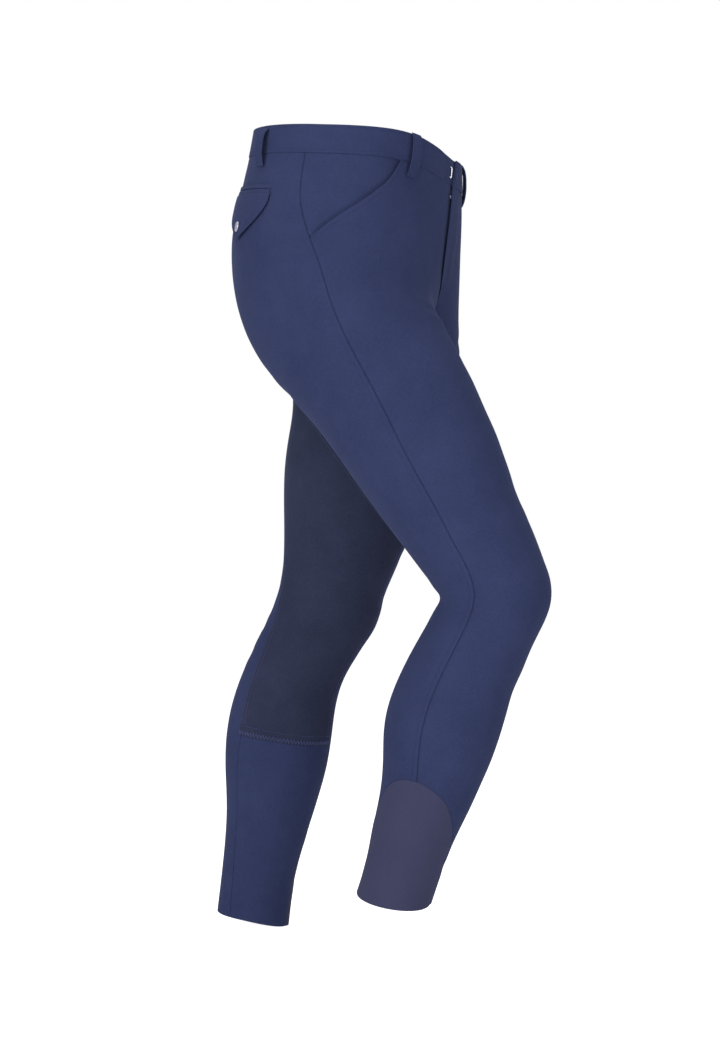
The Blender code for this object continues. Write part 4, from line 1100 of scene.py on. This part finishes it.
def add_shape(name, shape, matrix, finish):
    """A metal piece, from a shape that is stood in its place."""
    bmesh.ops.transform(shape, matrix=matrix, verts=shape.verts)
    bmesh.ops.recalc_face_normals(shape, faces=shape.faces)
    mesh = bpy.data.meshes.new(name)
    shape.to_mesh(mesh)
    shape.free()
    mesh.shade_smooth()
    mesh.materials.append(finish)
    made = add_object(name, mesh)
    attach(made, "root")
    return made


TAPE_WEAVE = cloth_finish("zip_tape_weave", TAPE_BLUE, TAPE_DEEP, roughness=0.85, sheen=0.05,
                          sheen_roughness=0.5, sheen_tint=(0.6, 0.7, 1.0))[0]
NICKEL_PLATE = metal("nickel_plate", NICKEL, 0.28)
SNAP_PLATE = metal("snap_plate", SNAP_GREY, 0.3)
DARK_PLATE = metal("gunmetal_plate", GUNMETAL, 0.38)
tape_down, tape_in = rows_between(ZIP_TOP, ZIP_END, step=3.0, roll=0.4)
across = np.linspace(TAPE_SPAN[0], TAPE_SPAN[1], 13)
inset = np.minimum(across - across[0], across[-1] - across)
angles = angle_at("left", tape_down[:, None], across[None, :])
tape = sew_piece("zip_tape_cloth", "left", tape_down, angles, -TAPE_UNDER, TAPE_WALL, inset, tape_in, 0.4,
                 TAPE_WEAVE)
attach(tape, "root")
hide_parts("zip_tape")

ZIP_ROW = laid_in_rows("zip_teeth", "GeometryNodeMeshCube", False)
teeth_down = np.arange(SLIDER_DOWN + 6, ZIP_END - 1, 2.0)
teeth_angle = angle_at("left", teeth_down, ZIP_MIDDLE)
teeth_line = on_cloth("left", teeth_down, teeth_angle, TEETH_LIFT - TAPE_UNDER)[0]
tooth_size = tuple(c * MM for c in TOOTH)
teeth = lay_along("zip_teeth", [teeth_line], ZIP_ROW, Pitch=TOOTH_PITCH * MM, Size=tooth_size,
                  Finish=NICKEL_PLATE)

shape = bmesh.new()
wide, long, high = SLIDER_BODY
small_block(shape, (wide, long, SLIDER_PLATE), (0, 0, SLIDER_PLATE / 2), 0.4)
small_block(shape, (wide - 1.2, long - 1.5, SLIDER_PLATE), (0, 0, high - SLIDER_PLATE / 2), 0.45)
small_block(shape, SLIDER_POST, (0, -1.0, 1.6), 0.3)
slider = add_shape("zip_slider_body", shape, frame_on_front("left", SLIDER_DOWN, ZIP_MIDDLE, SLIDER_LIFT),
                   DARK_PLATE)
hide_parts("zip_slider")
shape = bmesh.new()
small_block(shape, PULL_SIZE, (0, 0, PULL_SIZE[2] / 2), 0.35)
pull = add_shape("zip_pull", shape, frame_on_front("left", SLIDER_DOWN, PULL_X, PULL_LIFT), DARK_PLATE)

bend = [(BAR_REACH, -BAR_HALF), (1.6, -BAR_HALF), (0.45, -BAR_HALF + 0.45), (0, -BAR_HALF + 1.6)]
curve = bpy.data.curves.new("waist_bar_wire", "CURVE")
curve.dimensions, curve.bevel_depth, curve.bevel_resolution = "3D", BAR_WIRE / 2 * MM, 4
curve.use_fill_caps = True
run = curve.splines.new("POLY")
run.points.add(2 * len(bend) - 1)
for spot, (x, y) in zip(run.points, bend + [(x, -y) for x, y in bend[::-1]]):
    spot.co = (x * MM, y * MM, 0, 1)
wire = bpy.data.objects.new("waist_bar_wire", curve)
bar_mesh = bpy.data.meshes.new_from_object(wire)
lean = Matrix.Rotation(math.radians(BAR_LEAN), 4, "Z")
bar_mesh.transform(frame_on_front("right", BAR_DOWN, BAR_X, BAR_LIFT) @ lean)
bar_mesh.materials.clear()
bar_mesh.materials.append(NICKEL_PLATE)
bar_mesh.shade_smooth()
bpy.data.objects.remove(wire)
bar = add_object("waist_bar_nickel", bar_mesh)
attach(bar, "root")
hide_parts("waist_bar")

fly_down = np.linspace(BAND_DEPTH + 2, 199, 110)
fly_row = [on_cloth("left", fly_down, angle_at("left", fly_down, fly_line(fly_down) + off), 0.0)[0]
           for off in FLY_ROWS]
sew("fly_thread", fly_row, THREAD)


# ------------------------------------------------------------------------ back pockets
# A welt of folded twill over each pocket's mouth, and a pointed flap below it, crowned
# and stitched along its edge, held down near the point by a dished metal snap.
POCKET_MIDDLE, POCKET_HALF = 132.5, 23.0
WELT_TOP, WELT_END, FLAP_TOP = 73.5, 78.5, 79.5
FLAP_SIDE, FLAP_TIP, FLAP_CURVE = 11.0, 59.5, 0.57
FLAP_CLOTH, FLAP_ROLL, FLAP_CORNER, POCKET_LIFT = 1.6, 0.8, 5.0, 0.3
FLAP_FACE = POCKET_LIFT + FLAP_CLOTH   # its outer face, before it curls
FLAP_CURL, FLAP_OPEN, FLAP_CROWN = 2.6, 0.9, 0.5   # how far its point stands off, its top, its padding
FLAP_EASE = 9.0                   # it stands off and is padded over this much
FLAP_ROW_IN, FLAP_ROW_TIP = 4.5, 8.0   # the stitched row, in from the edge and at the point
EDGE_ROW, TOP_ROW = 0.955, 0.93   # how much of the flap's width the rows along its edge and top take
EDGE_GROOVE, TOP_GROOVE = 0.4, 0.9     # the grooves that it pulls
EVEN_FROM = 7.0                   # the flap's rows of points are evenly apart from here on
WELT_CLOTH, WELT_TIP, WELT_TAPER, WELT_ROLL = 1.2, 0.35, 9.0, 0.7   # it thins to its tips over the taper
SNAP_DOWN = 125.0
SNAP_LEAN = 8.0                   # degrees of angle that the flap's point leans the snap back
# radius, height
SNAP_CAP = [(0, 1.0), (2.4, 0.95), (3.5, 1.05), (4.1, 1.4), (4.6, 1.8), (5.1, 1.95), (5.7, 1.8), (6.1, 1.4),
            (6.4, 0.9), (6.5, 0.5), (6.3, 0.0), (0, 0)]


def flap_length(u):
    """The flap's length at a share u of its half width from its middle."""
    return FLAP_SIDE + (FLAP_TIP - FLAP_SIDE) * (1 - np.abs(u)) ** FLAP_CURVE


NEAR_TOP = np.array([[0.0, 0.1, 0.4, 0.8, 1.6, 3.0, 3.9, 4.5, 5.1, 6.0]])   # rows of points, close together
NEAR_END = np.array([[5.0, 4.5, 4.0, 3.0, 1.6, 0.8, 0.5, 0.24, 0.06]])      # beside the flap's two ends
flap_rows = []
for side in ("right", "left"):
    u = np.sin(np.linspace(-0.5, 0.5, 75) * np.pi)
    mm_across = POCKET_HALF * np.radians(1) * float(radius(np.array(WELT_TOP), np.array(POCKET_MIDDLE)))
    welt_down, welt_in = rows_between(WELT_TOP, WELT_END, step=1.0, roll=WELT_ROLL)
    angles = POCKET_MIDDLE + POCKET_HALF * u[None, :] * np.ones((len(welt_down), 1))
    inset = (1 - np.abs(u)) * mm_across
    welt_wall = WELT_TIP + (WELT_CLOTH - WELT_TIP) * easing(inset / WELT_TAPER)
    welt = sew_piece("pocket_welt_cloth_" + side, side, welt_down, angles, POCKET_LIFT + welt_wall, welt_wall,
                     inset, welt_in, WELT_ROLL, NAVY_TWILL)
    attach(welt, "root")
    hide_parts("pocket_welt_" + side)

    length = flap_length(u)
    between = EVEN_FROM + (length[:, None] - 2 * EVEN_FROM) * np.linspace(0, 1, 18)
    part = np.concatenate([NEAR_TOP / length[:, None], between / length[:, None],
                           1 - NEAR_END / length[:, None], np.ones((len(u), 1))], 1).T
    part = np.sort(part, axis=0)
    from_top = part * length[None, :]
    down = FLAP_TOP + from_top
    corner = 1 - np.sqrt(1 - (1 - np.clip(from_top / FLAP_CORNER, 0, 1)) ** 2)
    angles = POCKET_MIDDLE + POCKET_HALF * u[None, :] * (1 - corner * FLAP_CORNER / mm_across)
    slope = np.gradient(length, u * mm_across)
    from_end = (1 - part) * length[None, :] / np.hypot(1, slope)[None, :]
    from_side = ((1 - np.abs(u)) * mm_across)[None, :] * np.ones(part.shape)
    nearest = np.minimum(from_end, from_side)
    curl = FLAP_CURL * part ** 2 * (length / FLAP_TIP)[None, :] + FLAP_OPEN * easing(from_top / FLAP_EASE)
    crown = FLAP_CROWN * easing(np.minimum(nearest, from_top) / FLAP_EASE)
    crown = crown - EDGE_GROOVE * swell(nearest - FLAP_ROW_IN, 0.75)
    crown = crown - TOP_GROOVE * swell(from_top - FLAP_ROW_IN, 0.9)
    flap = sew_piece("pocket_flap_cloth_" + side, side, down, angles, FLAP_FACE + curl + crown, FLAP_CLOTH,
                     nearest, from_top, FLAP_ROLL, NAVY_TWILL)
    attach(flap, "root")
    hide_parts("pocket_flap_" + side)

    row_u = np.linspace(-EDGE_ROW, EDGE_ROW, 121)
    row_slope = np.gradient(flap_length(row_u), row_u * mm_across)
    row_length = flap_length(row_u) - FLAP_ROW_IN * np.hypot(1, row_slope)
    row_length = np.minimum(row_length, flap_length(np.zeros(1)) - FLAP_ROW_TIP)
    row_curl = FLAP_CURL * (row_length / FLAP_TIP) ** 2 + FLAP_OPEN * easing(row_length / FLAP_EASE)
    flap_rows.append(on_cloth(side, FLAP_TOP + row_length, POCKET_MIDDLE + POCKET_HALF * row_u,
                              FLAP_FACE + row_curl + 0.1)[0])
    top_angle = POCKET_MIDDLE + POCKET_HALF * np.linspace(-TOP_ROW, TOP_ROW, 97)
    flap_rows.append(on_cloth(side, FLAP_TOP + FLAP_ROW_IN, top_angle, FLAP_FACE + 0.1)[0])

    shape = bmesh.new()
    ring_verts = [shape.verts.new((r * MM, 0, h * MM)) for r, h in SNAP_CAP]
    ring_edges = [shape.edges.new(pair) for pair in zip(ring_verts, ring_verts[1:])]
    bmesh.ops.spin(shape, geom=ring_verts + ring_edges, cent=(0, 0, 0), axis=(0, 0, 1), angle=math.tau,
                   steps=32, use_merge=True)
    bmesh.ops.remove_doubles(shape, verts=shape.verts, dist=0.01 * MM)
    down = np.array([SNAP_DOWN - 1, SNAP_DOWN, SNAP_DOWN + 1])
    points, _ = on_cloth(side, down, np.full(3, POCKET_MIDDLE), 0.0)
    _, normals = on_cloth(side, down, np.full(3, POCKET_MIDDLE + SNAP_LEAN), 0.0)
    snap_lift = FLAP_FACE + FLAP_CROWN + FLAP_OPEN + FLAP_CURL * ((SNAP_DOWN - FLAP_TOP) / FLAP_TIP) ** 2
    snap = add_shape("snap_cap_" + side, shape, standing_on(points, normals, snap_lift), SNAP_PLATE)
    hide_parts("snap_" + side)
sew("pocket_flap_thread", flap_rows, THREAD)
